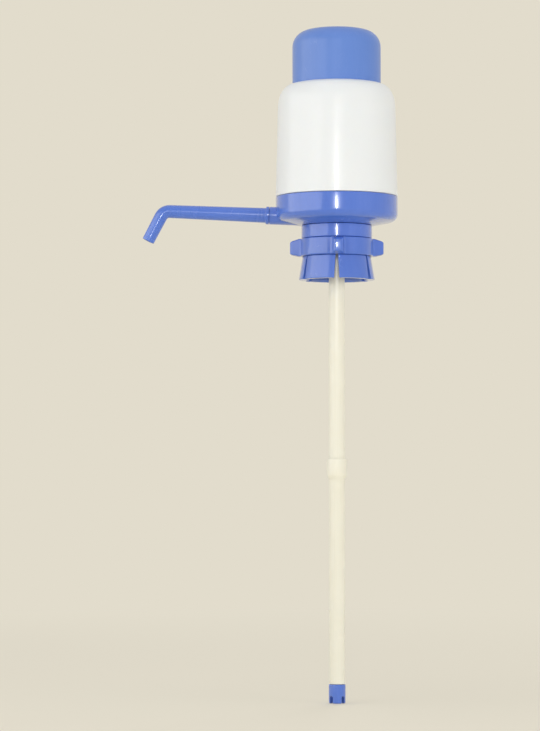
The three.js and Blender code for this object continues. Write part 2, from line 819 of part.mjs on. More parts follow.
/** The spout and its two sealing rings, in the frame of the socket's mouth, with the arm along -X. */
function spoutAssembly() {
  const along = (x, radius, bore) => ({ x, z: 0, heading: 0, radius, bore });
  const grooveRadius = spoutNozzleRadius - sealGroove;
  const grooveHalf = sealSection / 2 + ringGap;
  const stations = [
    along(spoutNozzleLength, spoutNozzleRadius - spoutCollar / 3, spoutNozzleBore),
    along(spoutNozzleLength - spoutCollar / 3, spoutNozzleRadius, spoutNozzleBore),
    ...[...spoutSealPlaces].reverse().flatMap((place) => [
      along(place + grooveHalf, spoutNozzleRadius, spoutNozzleBore),
      along(place + grooveHalf, grooveRadius, spoutNozzleBore),
      along(place - grooveHalf, grooveRadius, spoutNozzleBore),
      along(place - grooveHalf, spoutNozzleRadius, spoutNozzleBore),
    ]),
    along(-seatGap, spoutNozzleRadius, spoutNozzleBore),
    along(-seatGap, socketRadius, spoutNozzleBore),
    along(-seatGap - spoutCollar, socketRadius, armBore),
    along(-seatGap - spoutCollar, armRootRadius, armBore),
  ];
  const bend = THREE.MathUtils.degToRad(elbowDegrees);
  const elbowStart = elbowRadius * Math.tan(bend / 2) - armLength;
  stations.push(along(elbowStart, armTipRadius, armBore));
  for (let i = 1; i <= cornerSteps; i++) {
    const turn = (bend * i) / cornerSteps;
    stations.push({
      x: elbowStart - elbowRadius * Math.sin(turn),
      z: elbowRadius * (Math.cos(turn) - 1),
      heading: -turn,
      radius: armTipRadius,
      bore: armBore,
    });
  }
  const elbow = stations.at(-1);
  stations.push({
    x: elbow.x - legLength * Math.cos(bend),
    z: elbow.z - legLength * Math.sin(bend),
    heading: -bend,
    radius: legTipRadius,
    bore: legTipBore,
  });
  const group = new THREE.Group();
  group.add(piece("spout", solid(sweptTube(stations)), bluePlastic));
  spoutSealPlaces.forEach((place, i) => {
    const ring = sealRing(`spout_seal_${i + 1}`, grooveRadius, socketBore);
    ring.rotation.y = Math.PI / 2;
    ring.position.x = place;
    group.add(ring);
  });
  group.position.set(
    -socketMouth * Math.cos(spoutTilt),
    0,
    baseUnderside + channelRadius + socketMouth * Math.sin(spoutTilt),
  );
  group.rotation.y = spoutTilt;
  return group;
}

/** The upper water tube, a plain pipe. */
function upperTube() {
  const made = solid(sleeve(tubeBore, tubeRadius, 0, upperTubeLength, tubeSides));
  return piece("upper_tube", made, tubePlastic, [0, 0, upperTubeBottom]);
}

/** The lower water tube, with a wider socket at its top that takes the upper tube. */
function lowerTube() {
  const socketBoreRadius = tubeRadius + seatGap;
  const socketOuter = socketBoreRadius + tubeSocketWall;
  const ledge = lowerTubeLength - tubeSocketDepth;
  const made = turned(
    [
      [tubeBore, 0],
      [tubeRadius, 0],
      [tubeRadius, ledge - tubeSocketTaper],
      [socketOuter, ledge],
      [socketOuter, lowerTubeLength - bandEdge],
      [socketOuter - bandEdge, lowerTubeLength],
      [socketBoreRadius, lowerTubeLength],
      [socketBoreRadius, ledge],
      [tubeBore, ledge],
    ],
    tubeSides,
  );
  return piece("lower_tube", made, tubePlastic, [0, 0, lowerTubeBottom]);
}

/** The foot that keeps the tube's end off the bottle's floor, with four slots for the water. */
function intakeFoot() {
  const radius = tubeRadius + footProud;
  const shell = turned(
    [
      [footBore, -footHeight],
      [radius - footEdge, -footHeight],
      [radius, -footHeight + footEdge],
      [radius, 0],
      [nozzleRadius, 0],
      [nozzleRadius, footNozzleHeight - footEdge],
      [nozzleRadius - footEdge / 2, footNozzleHeight],
      [footBore, footNozzleHeight],
    ],
    tubeSides,
  );
  const slots = spaced(footSlotCount / 2, 45).map((angle) =>
    solid(
      new THREE.BoxGeometry(2 * (radius + cutOverrun), footSlotWidth, footSlotHeight + cutOverrun)
        .translate(0, 0, -footHeight + (footSlotHeight - cutOverrun) / 2)
        .rotateZ(angle),
    ),
  );
  return piece("intake_foot", cut(shell, ...slots), bluePlastic, [0, 0, footTop]);
}

/** A group of pieces. */
const unit = (...pieces) => new THREE.Group().add(...pieces);

const valveRingTop = plateThickness + springRingHeight;
const headScrewAngles = spaced(headScrewCount, headScrewTurn);
const baseScrewAngles = spaced(baseScrewCount, baseScrewTurn);
const headUnit = unit(
  pumpHead(),
  clampPlate("head_plate", upperPlateZ, headScrewAngles, 0, -springRingHeight, rootSink),
  ...screws("head_screw", headScrewAngles, upperPlateZ, false),
  flapValve("intake_valve", 0, upperPlateZ),
);
const airUnit = unit(
  cylinderCase(),
  bellows(),
  returnSpring(),
  clampPlate("valve_plate", lowerPlateZ, baseScrewAngles, outletValveOffset, 0, valveRingTop),
  ...screws("plate_screw", baseScrewAngles, lowerPlateZ + plateThickness, true),
  flapValve("outlet_valve", outletValveOffset, lowerPlateZ),
);
const tubeSeal = sealRing("tube_seal", nozzleRadius - sealGroove, tubeBore);
tubeSeal.position.z = baseUnderside - tubeSealDepth;
const baseUnit = unit(base(), spoutAssembly(), tubeSeal);
const neckUnit = unit(adapter(), lockingNut(), neckGasket());
const tubeUnit = unit(upperTube(), lowerTube(), intakeFoot());

const pump = unit(headUnit, airUnit, baseUnit, neckUnit, tubeUnit);
export default pump;
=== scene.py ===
"""Looks of a hand-press pump for a large water bottle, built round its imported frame.

Lengths are millimetres until a mesh becomes an object, and then metres. The pump's axis is Z,
the spout points along -X and the front faces -Y.
"""

import json
import logging
import math
from abc import ABC, abstractmethod
from collections.abc import Callable, Iterable, Mapping, Sequence
from dataclasses import dataclass
from enum import Enum

import bmesh
import bpy
from mathutils import Matrix, Vector

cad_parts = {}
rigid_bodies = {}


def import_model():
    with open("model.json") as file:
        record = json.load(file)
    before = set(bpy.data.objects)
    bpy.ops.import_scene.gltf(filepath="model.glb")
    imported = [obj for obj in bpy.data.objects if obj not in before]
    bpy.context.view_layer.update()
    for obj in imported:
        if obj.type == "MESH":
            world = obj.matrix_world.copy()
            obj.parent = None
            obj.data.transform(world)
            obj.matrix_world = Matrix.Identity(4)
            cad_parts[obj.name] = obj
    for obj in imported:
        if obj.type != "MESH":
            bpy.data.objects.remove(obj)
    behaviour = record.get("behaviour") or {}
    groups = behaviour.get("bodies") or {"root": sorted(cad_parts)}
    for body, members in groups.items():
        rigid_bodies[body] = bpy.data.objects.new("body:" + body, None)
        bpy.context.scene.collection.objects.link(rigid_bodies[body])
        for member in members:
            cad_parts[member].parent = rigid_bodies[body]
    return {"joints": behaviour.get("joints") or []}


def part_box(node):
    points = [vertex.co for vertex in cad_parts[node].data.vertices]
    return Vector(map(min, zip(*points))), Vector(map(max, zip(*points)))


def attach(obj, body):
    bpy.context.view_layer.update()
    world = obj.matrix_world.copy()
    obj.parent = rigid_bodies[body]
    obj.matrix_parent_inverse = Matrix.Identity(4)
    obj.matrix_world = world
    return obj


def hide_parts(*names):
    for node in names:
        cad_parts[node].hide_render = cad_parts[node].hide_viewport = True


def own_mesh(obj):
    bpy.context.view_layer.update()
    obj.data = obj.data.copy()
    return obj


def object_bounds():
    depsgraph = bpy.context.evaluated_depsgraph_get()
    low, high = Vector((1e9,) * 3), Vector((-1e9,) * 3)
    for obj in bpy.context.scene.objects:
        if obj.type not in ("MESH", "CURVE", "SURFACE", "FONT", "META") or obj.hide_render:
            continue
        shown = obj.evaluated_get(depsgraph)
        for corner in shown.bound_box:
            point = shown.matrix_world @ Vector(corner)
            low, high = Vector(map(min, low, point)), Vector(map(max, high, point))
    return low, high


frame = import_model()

CAD_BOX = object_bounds()
LOG = logging.getLogger("water_pump")

MM = 0.001
SEAT_GAP = 0.3  # between faces that rest on each other
OVERRUN = 1.0  # how far a cutter passes the face that it opens
SINK = 0.5  # how far an added form reaches into the wall that carries it
MARGIN = 0.1  # how far a face stays inside its node's box where that is asked for
ARC_STEP = math.radians(11)
WELD = 1e-4
SHARP_EDGE = math.radians(34)

Colour = tuple[float, float, float, float]
Corner = tuple[float, ...]  # two coordinates, and a rounding radius where there is one
Outline = list[tuple[float, float]]


class Rider(Enum):
    """The moving bodies of the frame that a piece can ride on."""

    PUMP = "pump_body"
    HEAD = "press_head"
    INTAKE_FLAP = "intake_flap"
    OUTLET_FLAP = "outlet_flap"
    NUT = "neck_nut"
    SPOUT = "spout_arm"


class Slot(Enum):
    """The record's material slots."""

    BLUE = "blue_plastic"
    WHITE = "white_plastic"
    TUBE = "tube_plastic"
    PLATE = "plate_plastic"
    BELLOWS = "bellows_rubber"
    SEAL = "seal_rubber"
    VALVE = "valve_rubber"
    SPRING = "spring_steel"
    SCREW = "screw_steel"


@dataclass(frozen=True)
class Extent:
    """Where a node of the frame lies: its lowest and highest points, radius and middle."""

    low: float
    high: float
    radius: float
    middle: Vector

    @classmethod
    def of(cls, node: str) -> "Extent":
        """The extent of the node with that name, whose radius is its reach along +X."""
        low, high = (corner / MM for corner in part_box(node))
        return cls(low.z, high.z, high.x, (low + high) / 2)

    @property
    def ends(self) -> tuple[float, float]:
        """Its lowest and highest points."""
        return self.low, self.high

    @property
    def length(self) -> float:
        """Height from end to end."""
        return self.high - self.low

    @property
    def circle(self) -> float:
        """Distance of the middle from the axis."""
        return math.hypot(self.middle.x, self.middle.y)


def joint(name: str) -> Mapping[str, object]:
    """The frame's joint with that name."""
    return next(each for each in frame["joints"] if each["name"] == name)


def linked(name: str, data: bpy.types.ID) -> bpy.types.Object:
    """A new object of that data, in the scene."""
    made = bpy.data.objects.new(name, data)
    bpy.context.scene.collection.objects.link(made)
    return made


def arc(
    centre: tuple[float, float], radius: float, start: float, end: float, rise: float | None = None
) -> Outline:
    """Points of an arc in a profile.

    Args:
        centre: The arc's centre.
        radius: Its radius.
        start: Angle of its first point, in degrees.
        end: Angle of its last point, in degrees.
        rise: Half-height of an ellipse whose half-width is the radius, or None.

    Returns:
        The points, both ends among them.
    """
    sweep = math.radians(end - start)
    steps = max(2, math.ceil(abs(sweep) / ARC_STEP))
    angles = [math.radians(start) + sweep * i / steps for i in range(steps + 1)]
    tall = radius if rise is None else rise
    return [(centre[0] + radius * math.cos(a), centre[1] + tall * math.sin(a)) for a in angles]


def rounded(corners: Sequence[Corner]) -> Outline:
    """Rounds the corners of a closed outline.

    Args:
        corners: The corners, each with its rounding radius if it has one.

    Returns:
        The outline's points, with an arc at each rounded corner.
    """
    points: Outline = []
    for i, corner in enumerate(corners):
        here = Vector(corner[:2])
        if len(corner) == 2:
            points.append((here.x, here.y))
            continue
        back = (Vector(corners[i - 1][:2]) - here).normalized()
        onward = (Vector(corners[(i + 1) % len(corners)][:2]) - here).normalized()
        half = back.angle(onward) / 2
        centre = here + (back + onward).normalized() * (corner[2] / math.sin(half))
        start = here + back * (corner[2] / math.tan(half)) - centre
        end = here + onward * (corner[2] / math.tan(half)) - centre
        turn = math.atan2(start.cross(end), start.dot(end))
        steps = max(2, math.ceil(abs(turn) / ARC_STEP))
        for k in range(steps + 1):
            swung = Matrix.Rotation(turn * k / steps, 2) @ start
            points.append((centre.x + swung.x, centre.y + swung.y))
    return points


def inset(outline: Outline, distance: float) -> Outline:
    """Moves each side of a closed outline inwards.

    Args:
        outline: The points, in either sense.
        distance: How far inwards.

    Returns:
        As many points as before.
    """
    pairs = zip(outline, outline[1:] + outline[:1])
    sense = math.copysign(1, sum(a[0] * b[1] - b[0] * a[1] for a, b in pairs))
    moved: Outline = []
    for i, point in enumerate(outline):
        before = (Vector(point) - Vector(outline[i - 1])).normalized()
        after = (Vector(outline[(i + 1) % len(outline)]) - Vector(point)).normalized()
        normal = Vector((-(before + after).y, (before + after).x)).normalized() * sense
        stretch = max(0.5, math.sqrt((1 + before.dot(after)) / 2))
        moved.append(tuple(Vector(point) + normal * (distance / stretch)))
    return moved


def edge_rounding(radius: float, steps: int = 4) -> list[tuple[float, float]]:
    """Steps of a rounded edge: the distance from the end face and the outline's inset at each."""
    angles = [math.pi / 2 * i / steps for i in range(steps + 1)]
    return [(radius * (1 - math.cos(a)), radius * (1 - math.sin(a))) for a in angles]


def spaced(count: int, turn: float = 0.0) -> list[float]:
    """Angles in radians of evenly spaced copies, the first turned by so many degrees."""
    return [math.radians(turn + 360 * i / count) for i in range(count)]


class Body:
    """A closed mesh in millimetres, which can be moved, joined and cut."""

    def __init__(self, mesh: bpy.types.Mesh) -> None:
        """Wraps a mesh that is closed and has its faces pointing outwards."""
        self.mesh = mesh

    @classmethod
    def skinned(cls, loops: Sequence[Sequence[Vector]], joined: bool) -> "Body":
        """Binds loops of points into one closed surface.

        Args:
            loops: Closed loops with as many points each.
            joined: Whether the last loop is bound to the first, in place of two end faces.

        Returns:
            The body.
        """
        made = bmesh.new()
        rings = [[made.verts.new(point) for point in loop] for loop in loops]
        for low, high in zip(rings, rings[1:] + rings[:1] if joined else rings[1:]):
            for k, corner in enumerate(low):
                after = (k + 1) % len(low)
                made.faces.new((corner, low[after], high[after], high[k]))
        if not joined:
            made.faces.new(rings[0][::-1])
            made.faces.new(rings[-1])
        bmesh.ops.remove_doubles(made, verts=made.verts, dist=WELD)
        loose = [edge for edge in made.edges if not edge.link_faces]
        bmesh.ops.delete(made, geom=loose, context="EDGES")
        bmesh.ops.recalc_face_normals(made, faces=made.faces)
        mesh = bpy.data.meshes.new("body")
        made.to_mesh(mesh)
        made.free()
        return cls(mesh)

    @classmethod
    def turned(cls, sides: int, *corners: Corner) -> "Body":
        """Turns a closed profile about Z.

        Args:
            sides: Number of facets round the axis.
            corners: The profile's corners of (radius, height). Those on the axis become poles.

        Returns:
            The body.
        """
        turns, profile = spaced(sides), rounded(corners)
        loops = [[Vector((r * math.cos(a), r * math.sin(a), z)) for a in turns] for r, z in profile]
        return cls.skinned(loops, joined=True)

    @classmethod
    def post(cls, radius: float, low: float, high: float, sides: int = 48) -> "Body":
        """An upright cylinder about Z, between two heights."""
        return cls.turned(sides, (0, low), (radius, low), (radius, high), (0, high))

    @classmethod
    def block(cls, low: Sequence[float], high: Sequence[float]) -> "Body":
        """An upright box between two corners."""
        sides = [(low[0], low[1]), (high[0], low[1]), (high[0], high[1]), (low[0], high[1])]
        return cls.skinned([[Vector((x, y, z)) for x, y in sides] for z in (low[2], high[2])], joined=False)

    def moved(self, matrix: Matrix) -> "Body":
        """A copy that a matrix has moved."""
        mesh = self.mesh.copy()
        mesh.transform(matrix)
        return Body(mesh)

    def at(self, x: float, y: float, z: float = 0.0) -> "Body":
        """A copy shifted by so much."""
        return self.moved(Matrix.Translation((x, y, z)))

    def evaluated(self, prepare: Callable[[bpy.types.Object], None]) -> "Body":
        """The mesh as modifiers leave it.

        Args:
            prepare: Adds the modifiers to an object of the mesh.

        Returns:
            The changed body, with no modifier left.
        """
        bench = linked("bench", self.mesh)
        prepare(bench)
        graph = bpy.context.evaluated_depsgraph_get()
        mesh = bpy.data.meshes.new_from_object(bench.evaluated_get(graph))
        bench.modifiers.clear()
        bpy.data.objects.remove(bench)
        return Body(mesh)

    def _combined(self, operation: str, others: Iterable["Body"]) -> "Body":
        """The body after a boolean operation with each of the others."""
        tools = [linked("tool", other.mesh) for other in others]

        def prepare(bench: bpy.types.Object) -> None:
            """Adds a boolean modifier for each tool."""
            for tool in tools:
                modifier = bench.modifiers.new("combine", "BOOLEAN")
                modifier.operation = operation
                modifier.solver = "MANIFOLD"
                modifier.object = tool

        made = self.evaluated(prepare)
        for tool in tools:
            bpy.data.objects.remove(tool)
        return made

    def joined(self, *others: "Body") -> "Body":
        """One body of this one and the others."""
        return self._combined("UNION", others)

    def cut(self, *others: "Body") -> "Body":
        """This body with the others cut away."""
        return self._combined("DIFFERENCE", others)

    def within(self, *others: "Body") -> "Body":
        """What this body has in common with the others."""
        return self._combined("INTERSECT", others)


@dataclass(frozen=True)
class Wire:
    """An output of a node, or of a group's input, which arithmetic extends by Math nodes."""

    graph: "NodeGraph"
    socket: bpy.types.NodeSocket

    def _math(self, operation: str, *operands: "Operand") -> "Wire":
        """A Math node on the operands."""
        return self.graph.node("ShaderNodeMath", {"operation": operation}, dict(enumerate(operands)))

    def __add__(self, other: "Operand") -> "Wire":
        """Sum."""
        return self._math("ADD", self, other)

    def __sub__(self, other: "Operand") -> "Wire":
        """Difference."""
        return self._math("SUBTRACT", self, other)

    def __rsub__(self, other: "Operand") -> "Wire":
        """Difference from a number."""
        return self._math("SUBTRACT", other, self)

    def __mul__(self, other: "Operand") -> "Wire":
        """Product."""
        return self._math("MULTIPLY", self, other)

    def __truediv__(self, other: "Operand") -> "Wire":
        """Quotient."""
        return self._math("DIVIDE", self, other)

    def __abs__(self) -> "Wire":
        """Size without its sign."""
        return self._math("ABSOLUTE", self)

    __radd__ = __add__
    __rmul__ = __mul__

    def cosine(self) -> "Wire":
        """Cosine of an angle in radians."""
        return self._math("COSINE", self)

    def ramp(self, start: float, end: float, low: float = 0.0, high: float = 1.0) -> "Wire":
        """Runs smoothly from low to high as the value goes from start to end."""
        values = {0: self, 1: start, 2: end, 3: low, 4: high}
        return self.graph.node("ShaderNodeMapRange", {"interpolation_type": "SMOOTHSTEP"}, values)

    def other(self, name: str) -> "Wire":
        """Another output of the same node."""
        return Wire(self.graph, self.socket.node.outputs[name])


Operand = Wire | float | tuple


class NodeGraph:
    """Makes the nodes of one tree and links them."""

    def __init__(self, tree: bpy.types.NodeTree) -> None:
        """Works on that tree."""
        self.tree = tree

    def link(self, value: Operand, socket: bpy.types.NodeSocket) -> None:
        """Links a wire to a socket, or sets the socket to a plain value."""
        if isinstance(value, Wire):
            self.tree.links.new(value.socket, socket)
        else:
            socket.default_value = value

    def node(
        self,
        kind: str,
        settings: Mapping[str, object] = {},
        inputs: Mapping[str | int, Operand] = {},
        output: str | int = 0,
    ) -> Wire:
        """Makes a node.

        Args:
            kind: The node's type.
            settings: Its settings, which are set first.
            inputs: Values or wires of its sockets, by name or number.
            output: The output that is wanted.

        Returns:
            That output.
        """
        made = self.tree.nodes.new(kind)
        for name, value in settings.items():
            setattr(made, name, value)
        for key, value in inputs.items():
            self.link(value, made.inputs[key])
        return Wire(self, made.outputs[output])


class ShaderGraph(NodeGraph):
    """The tree of a material or a world, with the patterns that the finishes share."""

    @property
    def place(self) -> Wire:
        """Object coordinates, in metres."""
        return self.node("ShaderNodeTexCoord", output="Object")

    def reach(self, axis: str) -> Wire:
        """One of the object coordinates."""
        return self.node("ShaderNodeSeparateXYZ", {}, {0: self.place}, axis)

    def noise(self, size: float, detail: float = 2.0) -> Wire:
        """Soft noise from 0 to 1, its blotches so many millimetres wide, with so many finer layers."""
        inputs = {"Vector": self.place, "Scale": 1 / (size * MM), "Detail": detail}
        return self.node("ShaderNodeTexNoise", {}, inputs)

    def drawn(self, width: float, length: float, lean: float = 0.0, detail: float = 2.0) -> Wire:
        """Noise drawn out in one direction, from 0 to 1.

        Args:
            width: Width of its streaks in millimetres.
            length: Their length in millimetres.
            lean: Angle between the streaks and Z, in degrees.
            detail: How many finer layers it has.

        Returns:
            The value.
        """
        turn = {"Vector": self.place, "Rotation": (0.0, math.radians(lean), math.radians(lean))}
        turned = self.node("ShaderNodeMapping", {"vector_type": "TEXTURE"}, turn)
        scale = (1 / (width * MM), 1 / (width * MM), 1 / (length * MM))
        streaks = self.node("ShaderNodeMapping", {}, {"Vector": turned, "Scale": scale})
        return self.node("ShaderNodeTexNoise", {}, {"Vector": streaks, "Scale": 1.0, "Detail": detail})

    def hairlines(self, lean: float) -> Wire:
        """Sparse hairline scratches, 1 on a line and 0 elsewhere."""
        line = abs(self.drawn(4.0, 160.0, lean, 0.0) - 0.5).ramp(0.0, 0.012, 1.0, 0.0)
        return line * self.noise(17.0, 0.0).ramp(0.56, 0.7)

    def specks(self, spacing: float, radius: float) -> Wire:
        """Round specks of dust with that spacing and radius, 1 on a speck and 0 elsewhere."""
        distance = self.node("ShaderNodeTexVoronoi", {}, {"Vector": self.place, "Scale": 1 / (spacing * MM)})
        return distance.ramp(radius / spacing * 0.6, radius / spacing, 1.0, 0.0)

    def mixed(self, share: Operand, first: Operand, second: Operand) -> Wire:
        """A colour between two others."""
        return self.node("ShaderNodeMix", {"data_type": "RGBA"}, {0: share, 6: first, 7: second}, output=2)

    def blended(self, share: Operand, first: Wire, second: Wire) -> Wire:
        """A shader between two others."""
        return self.node("ShaderNodeMixShader", {}, {0: share, 1: first, 2: second})

    def bump(self, height: Operand, depth: float, under: Wire | None = None) -> Wire:
        """A normal disturbed by a height whose 1 is so many millimetres, over a coarser normal if any."""
        coarser = {} if under is None else {"Normal": under}
        inputs = {"Height": height, "Distance": depth * MM, "Strength": 1.0, **coarser}
        return self.node("ShaderNodeBump", {}, inputs)

    def seen(self) -> Wire:
        """1 on rays that show the backdrop: from the camera, in gloss and through clear pieces."""
        path = self.node("ShaderNodeLightPath")
        return path + path.other("Is Glossy Ray") + path.other("Is Transmission Ray")


def linear(red: int, green: int, blue: int) -> Colour:
    """A colour for a socket, from the 0 to 255 values that a screen shows."""
    shown = [value / 255 for value in (red, green, blue)]
    light = [v / 12.92 if v <= 0.04045 else ((v + 0.055) / 1.055) ** 2.4 for v in shown]
    return (*light, 1.0)


def scaled(colour: Sequence[float], *shares: float) -> Colour:
    """A colour with its red, green and blue times a share each."""
    return (*(value * share for value, share in zip(colour, shares)), 1.0)


def shade(colour: Sequence[float], share: float) -> Colour:
    """A colour mixed with white by a share, or with black by a share below zero."""
    end = 1.0 if share > 0 else 0.0
    return (*(value + (end - value) * abs(share) for value in colour[:3]), 1.0)


@dataclass(frozen=True)
class Finish(ABC):
    """How a surface looks, and its slot in the record. Its material is made once."""

    name: str
    slot: Slot
    colour: Colour

    def material(self) -> bpy.types.Material:
        """The finish as a Blender material."""
        found = bpy.data.materials.get(self.name)
        if found:
            return found
        made = bpy.data.materials.new(self.name)
        made.use_nodes = True
        made.diffuse_color = self.colour
        graph = ShaderGraph(made.node_tree)
        shader = made.node_tree.nodes["Principled BSDF"]
        for socket, value in self.sockets(graph).items():
            graph.link(value, shader.inputs[socket])
        return made

    @abstractmethod
    def sockets(self, graph: ShaderGraph) -> dict[str, Operand]:
        """Values or wires for the shader's sockets, by name."""


@dataclass(frozen=True)
class MouldedPlastic(Finish):
    """Injection-moulded plastic: grain, slow waves from cooling, flow lines, hairlines and dust."""

    roughness: float = 0.25
    grain_depth: float = 0.004
    wave_depth: float = 0.07
    mottle: float = 0.05
    wear: float = 1.0
    coat: float = 0.3
    glow: float = 0.0
    parting_line: bool = False
    rubbed_above: float | None = None  # height above which the palm has rubbed it
    flow: tuple[float, float] = (3.0, 42.0)  # width and length of the flow lines
    dust: tuple[float, float] = (7.0, 0.16)  # spacing and radius of its specks
    leans: tuple[float, ...] = (27.0, -41.0)  # of the hairlines, in degrees
    palm_lean: float = 63.0
    palm_fade: float = 3.0
    tone_sizes: tuple[float, float] = (38.0, 0.8)  # of its blotches and its speckle
    haze_size: float = 26.0
    wave_size: float = 30.0
    grain_size: float = 0.35
    ridge: tuple[float, float, float] = (0.1, 0.35, 0.8)  # half-widths and height of the parting line

    def sockets(self, graph: ShaderGraph) -> dict[str, Operand]:
        """The colour drifts slowly and streaks with the flow, and pales in scratches and dust."""
        flow = graph.drawn(*self.flow)
        lines = sum(graph.hairlines(lean) for lean in self.leans)
        haze = graph.noise(self.haze_size).ramp(0.3, 0.8)
        grain = graph.noise(self.grain_size)
        marks = lines * (0.5 * self.wear) + graph.specks(*self.dust) * (0.6 * self.wear)
        if self.rubbed_above is not None:
            palm = graph.reach("Z").ramp(self.rubbed_above * MM, (self.rubbed_above + self.palm_fade) * MM)
            marks = marks + palm * (graph.hairlines(self.palm_lean) * 0.5 + graph.noise(2.2, 3.0) * 0.12)
        blotches, speckle = self.tone_sizes
        tone = graph.noise(blotches, 3.0) * 0.55 + flow * 0.3 + graph.noise(speckle, 1.0) * 0.15
        varied = graph.mixed(tone, shade(self.colour, -2 * self.mottle), shade(self.colour, self.mottle))
        waves = graph.noise(self.wave_size, 0.0)
        if self.parting_line:
            top, foot, height = self.ridge
            waves = waves + abs(graph.reach("Y")).ramp(top * MM, foot * MM, height, 0.0)
        relief = graph.bump(waves, self.wave_depth)
        return {
            "Base Color": graph.mixed(marks * 0.3, varied, shade(self.colour, 0.3)),
            "Roughness": self.roughness + haze * 0.05 + (flow - 0.5) * 0.08 + marks * 0.2,
            "Normal": graph.bump(grain - lines * self.wear, self.grain_depth, relief),
            "Coat Weight": self.coat,
            "Coat Roughness": 0.12,
            "IOR": 1.49,
            "Subsurface Weight": self.glow,
            "Subsurface Radius": (0.004, 0.003, 0.002),
            "Subsurface Scale": 1.0,
        }


@dataclass(frozen=True)
class DrawnTube(Finish):
    """Milky extruded tube with faint draw lines along its length."""

    roughness: float = 0.3
    line_depth: float = 0.02
    line: tuple[float, float] = (0.7, 70.0)  # width and length of the draw lines
    dust: tuple[float, float] = (5.0, 0.14)  # spacing and radius of its specks
    drift_size: float = 24.0
    warmth: tuple[float, float, float] = (0.97, 0.95, 0.88)  # tint of its yellower parts

    def sockets(self, graph: ShaderGraph) -> dict[str, Operand]:
        """The draw lines run along Z, the milkiness drifts slowly, and dust clings to the tube."""
        lines = graph.drawn(*self.line)
        dust = graph.specks(*self.dust)
        warm = scaled(self.colour, *self.warmth)
        milky = graph.mixed(graph.noise(self.drift_size, 3.0) * 0.65 + lines * 0.35, warm, self.colour)
        return {
            "Base Color": graph.mixed(dust * 0.25, milky, shade(warm, -0.4)),
            "Roughness": self.roughness + (lines - 0.5) * 0.2 + dust * 0.2,
            "Normal": graph.bump(lines, self.line_depth),
            "Coat Weight": 0.2,
            "Coat Roughness": 0.2,
            "IOR": 1.5,
            "Subsurface Weight": 0.25,
            "Subsurface Radius": (0.004, 0.0035, 0.003),
            "Subsurface Scale": 1.0,
        }


@dataclass(frozen=True)
class Rubber(Finish):
    """Dull moulded rubber with a bloom of powder."""

    roughness: float = 0.62
    grain_depth: float = 0.05
    grain_size: float = 0.5
    bloom_size: float = 9.0

    def sockets(self, graph: ShaderGraph) -> dict[str, Operand]:
        """A paler bloom lies on the rubber in soft patches."""
        bloom = graph.noise(self.bloom_size, 4.0).ramp(0.45, 0.75)
        grain = graph.noise(self.grain_size, 3.0)
        return {
            "Base Color": graph.mixed(bloom * 0.8 + grain * 0.2, self.colour, shade(self.colour, 0.1)),
            "Roughness": self.roughness + bloom * 0.14 + (grain - 0.5) * 0.1,
            "Normal": graph.bump(grain, self.grain_depth),
            "IOR": 1.5,
        }


@dataclass(frozen=True)
class BrightSteel(Finish):
    """Drawn or plated steel with fine marks of its making."""

    roughness: float = 0.28
    mark_depth: float = 0.012
    mark_size: float = 0.3
    dull_size: float = 4.0

    def sockets(self, graph: ShaderGraph) -> dict[str, Operand]:
        """Draw marks and dull spots change the steel's gloss."""
        marks = graph.noise(self.mark_size, 3.0)
        dull = graph.noise(self.dull_size, 4.0).ramp(0.5, 0.8)
        return {
            "Base Color": graph.mixed(dull * 0.5, self.colour, shade(self.colour, -0.3)),
            "Metallic": 1.0,
            "Roughness": self.roughness + dull * 0.2 + (marks - 0.5) * 0.12,
            "Normal": graph.bump(marks, self.mark_depth),
        }


BLUE = linear(63, 110, 211)
GLOSS_BLUE = MouldedPlastic("gloss_blue_plastic", Slot.BLUE, BLUE, 0.2, wear=0.6, coat=0.9)
FOOT_BLUE = MouldedPlastic("foot_blue_plastic", Slot.BLUE, BLUE, 0.2, wear=0.15, coat=0.9)
SPOUT_BLUE = MouldedPlastic(
    "spout_blue_plastic", Slot.BLUE, BLUE, 0.24, wear=0.6, coat=0.7, parting_line=True
)
SATIN_BLUE = MouldedPlastic(
    "satin_blue_plastic", Slot.BLUE, linear(88, 130, 211), 0.42, 0.03, coat=0.35, rubbed_above=195
)
CASE_WHITE = MouldedPlastic(
    "case_white_plastic", Slot.WHITE, linear(235, 238, 240), 0.3,
    mottle=0.012, wear=0.5, coat=0.2, glow=0.1,
)
PLATE_GREY = MouldedPlastic("plate_grey_plastic", Slot.PLATE, linear(222, 225, 226), 0.42, 0.02, coat=0.0)
MILKY_TUBE = DrawnTube("milky_tube_plastic", Slot.TUBE, linear(243, 240, 226))
BELLOWS_RUBBER = Rubber("bellows_grey_rubber", Slot.BELLOWS, linear(178, 182, 188), 0.55)
SEAL_RUBBER = Rubber("seal_black_rubber", Slot.SEAL, linear(42, 43, 45), 0.6)
VALVE_RUBBER = Rubber("valve_red_rubber", Slot.VALVE, linear(168, 72, 56), 0.58)
SPRING_STEEL = BrightSteel("spring_steel", Slot.SPRING, linear(184, 188, 192))
SCREW_STEEL = BrightSteel("screw_steel", Slot.SCREW, linear(200, 202, 204), 0.32)


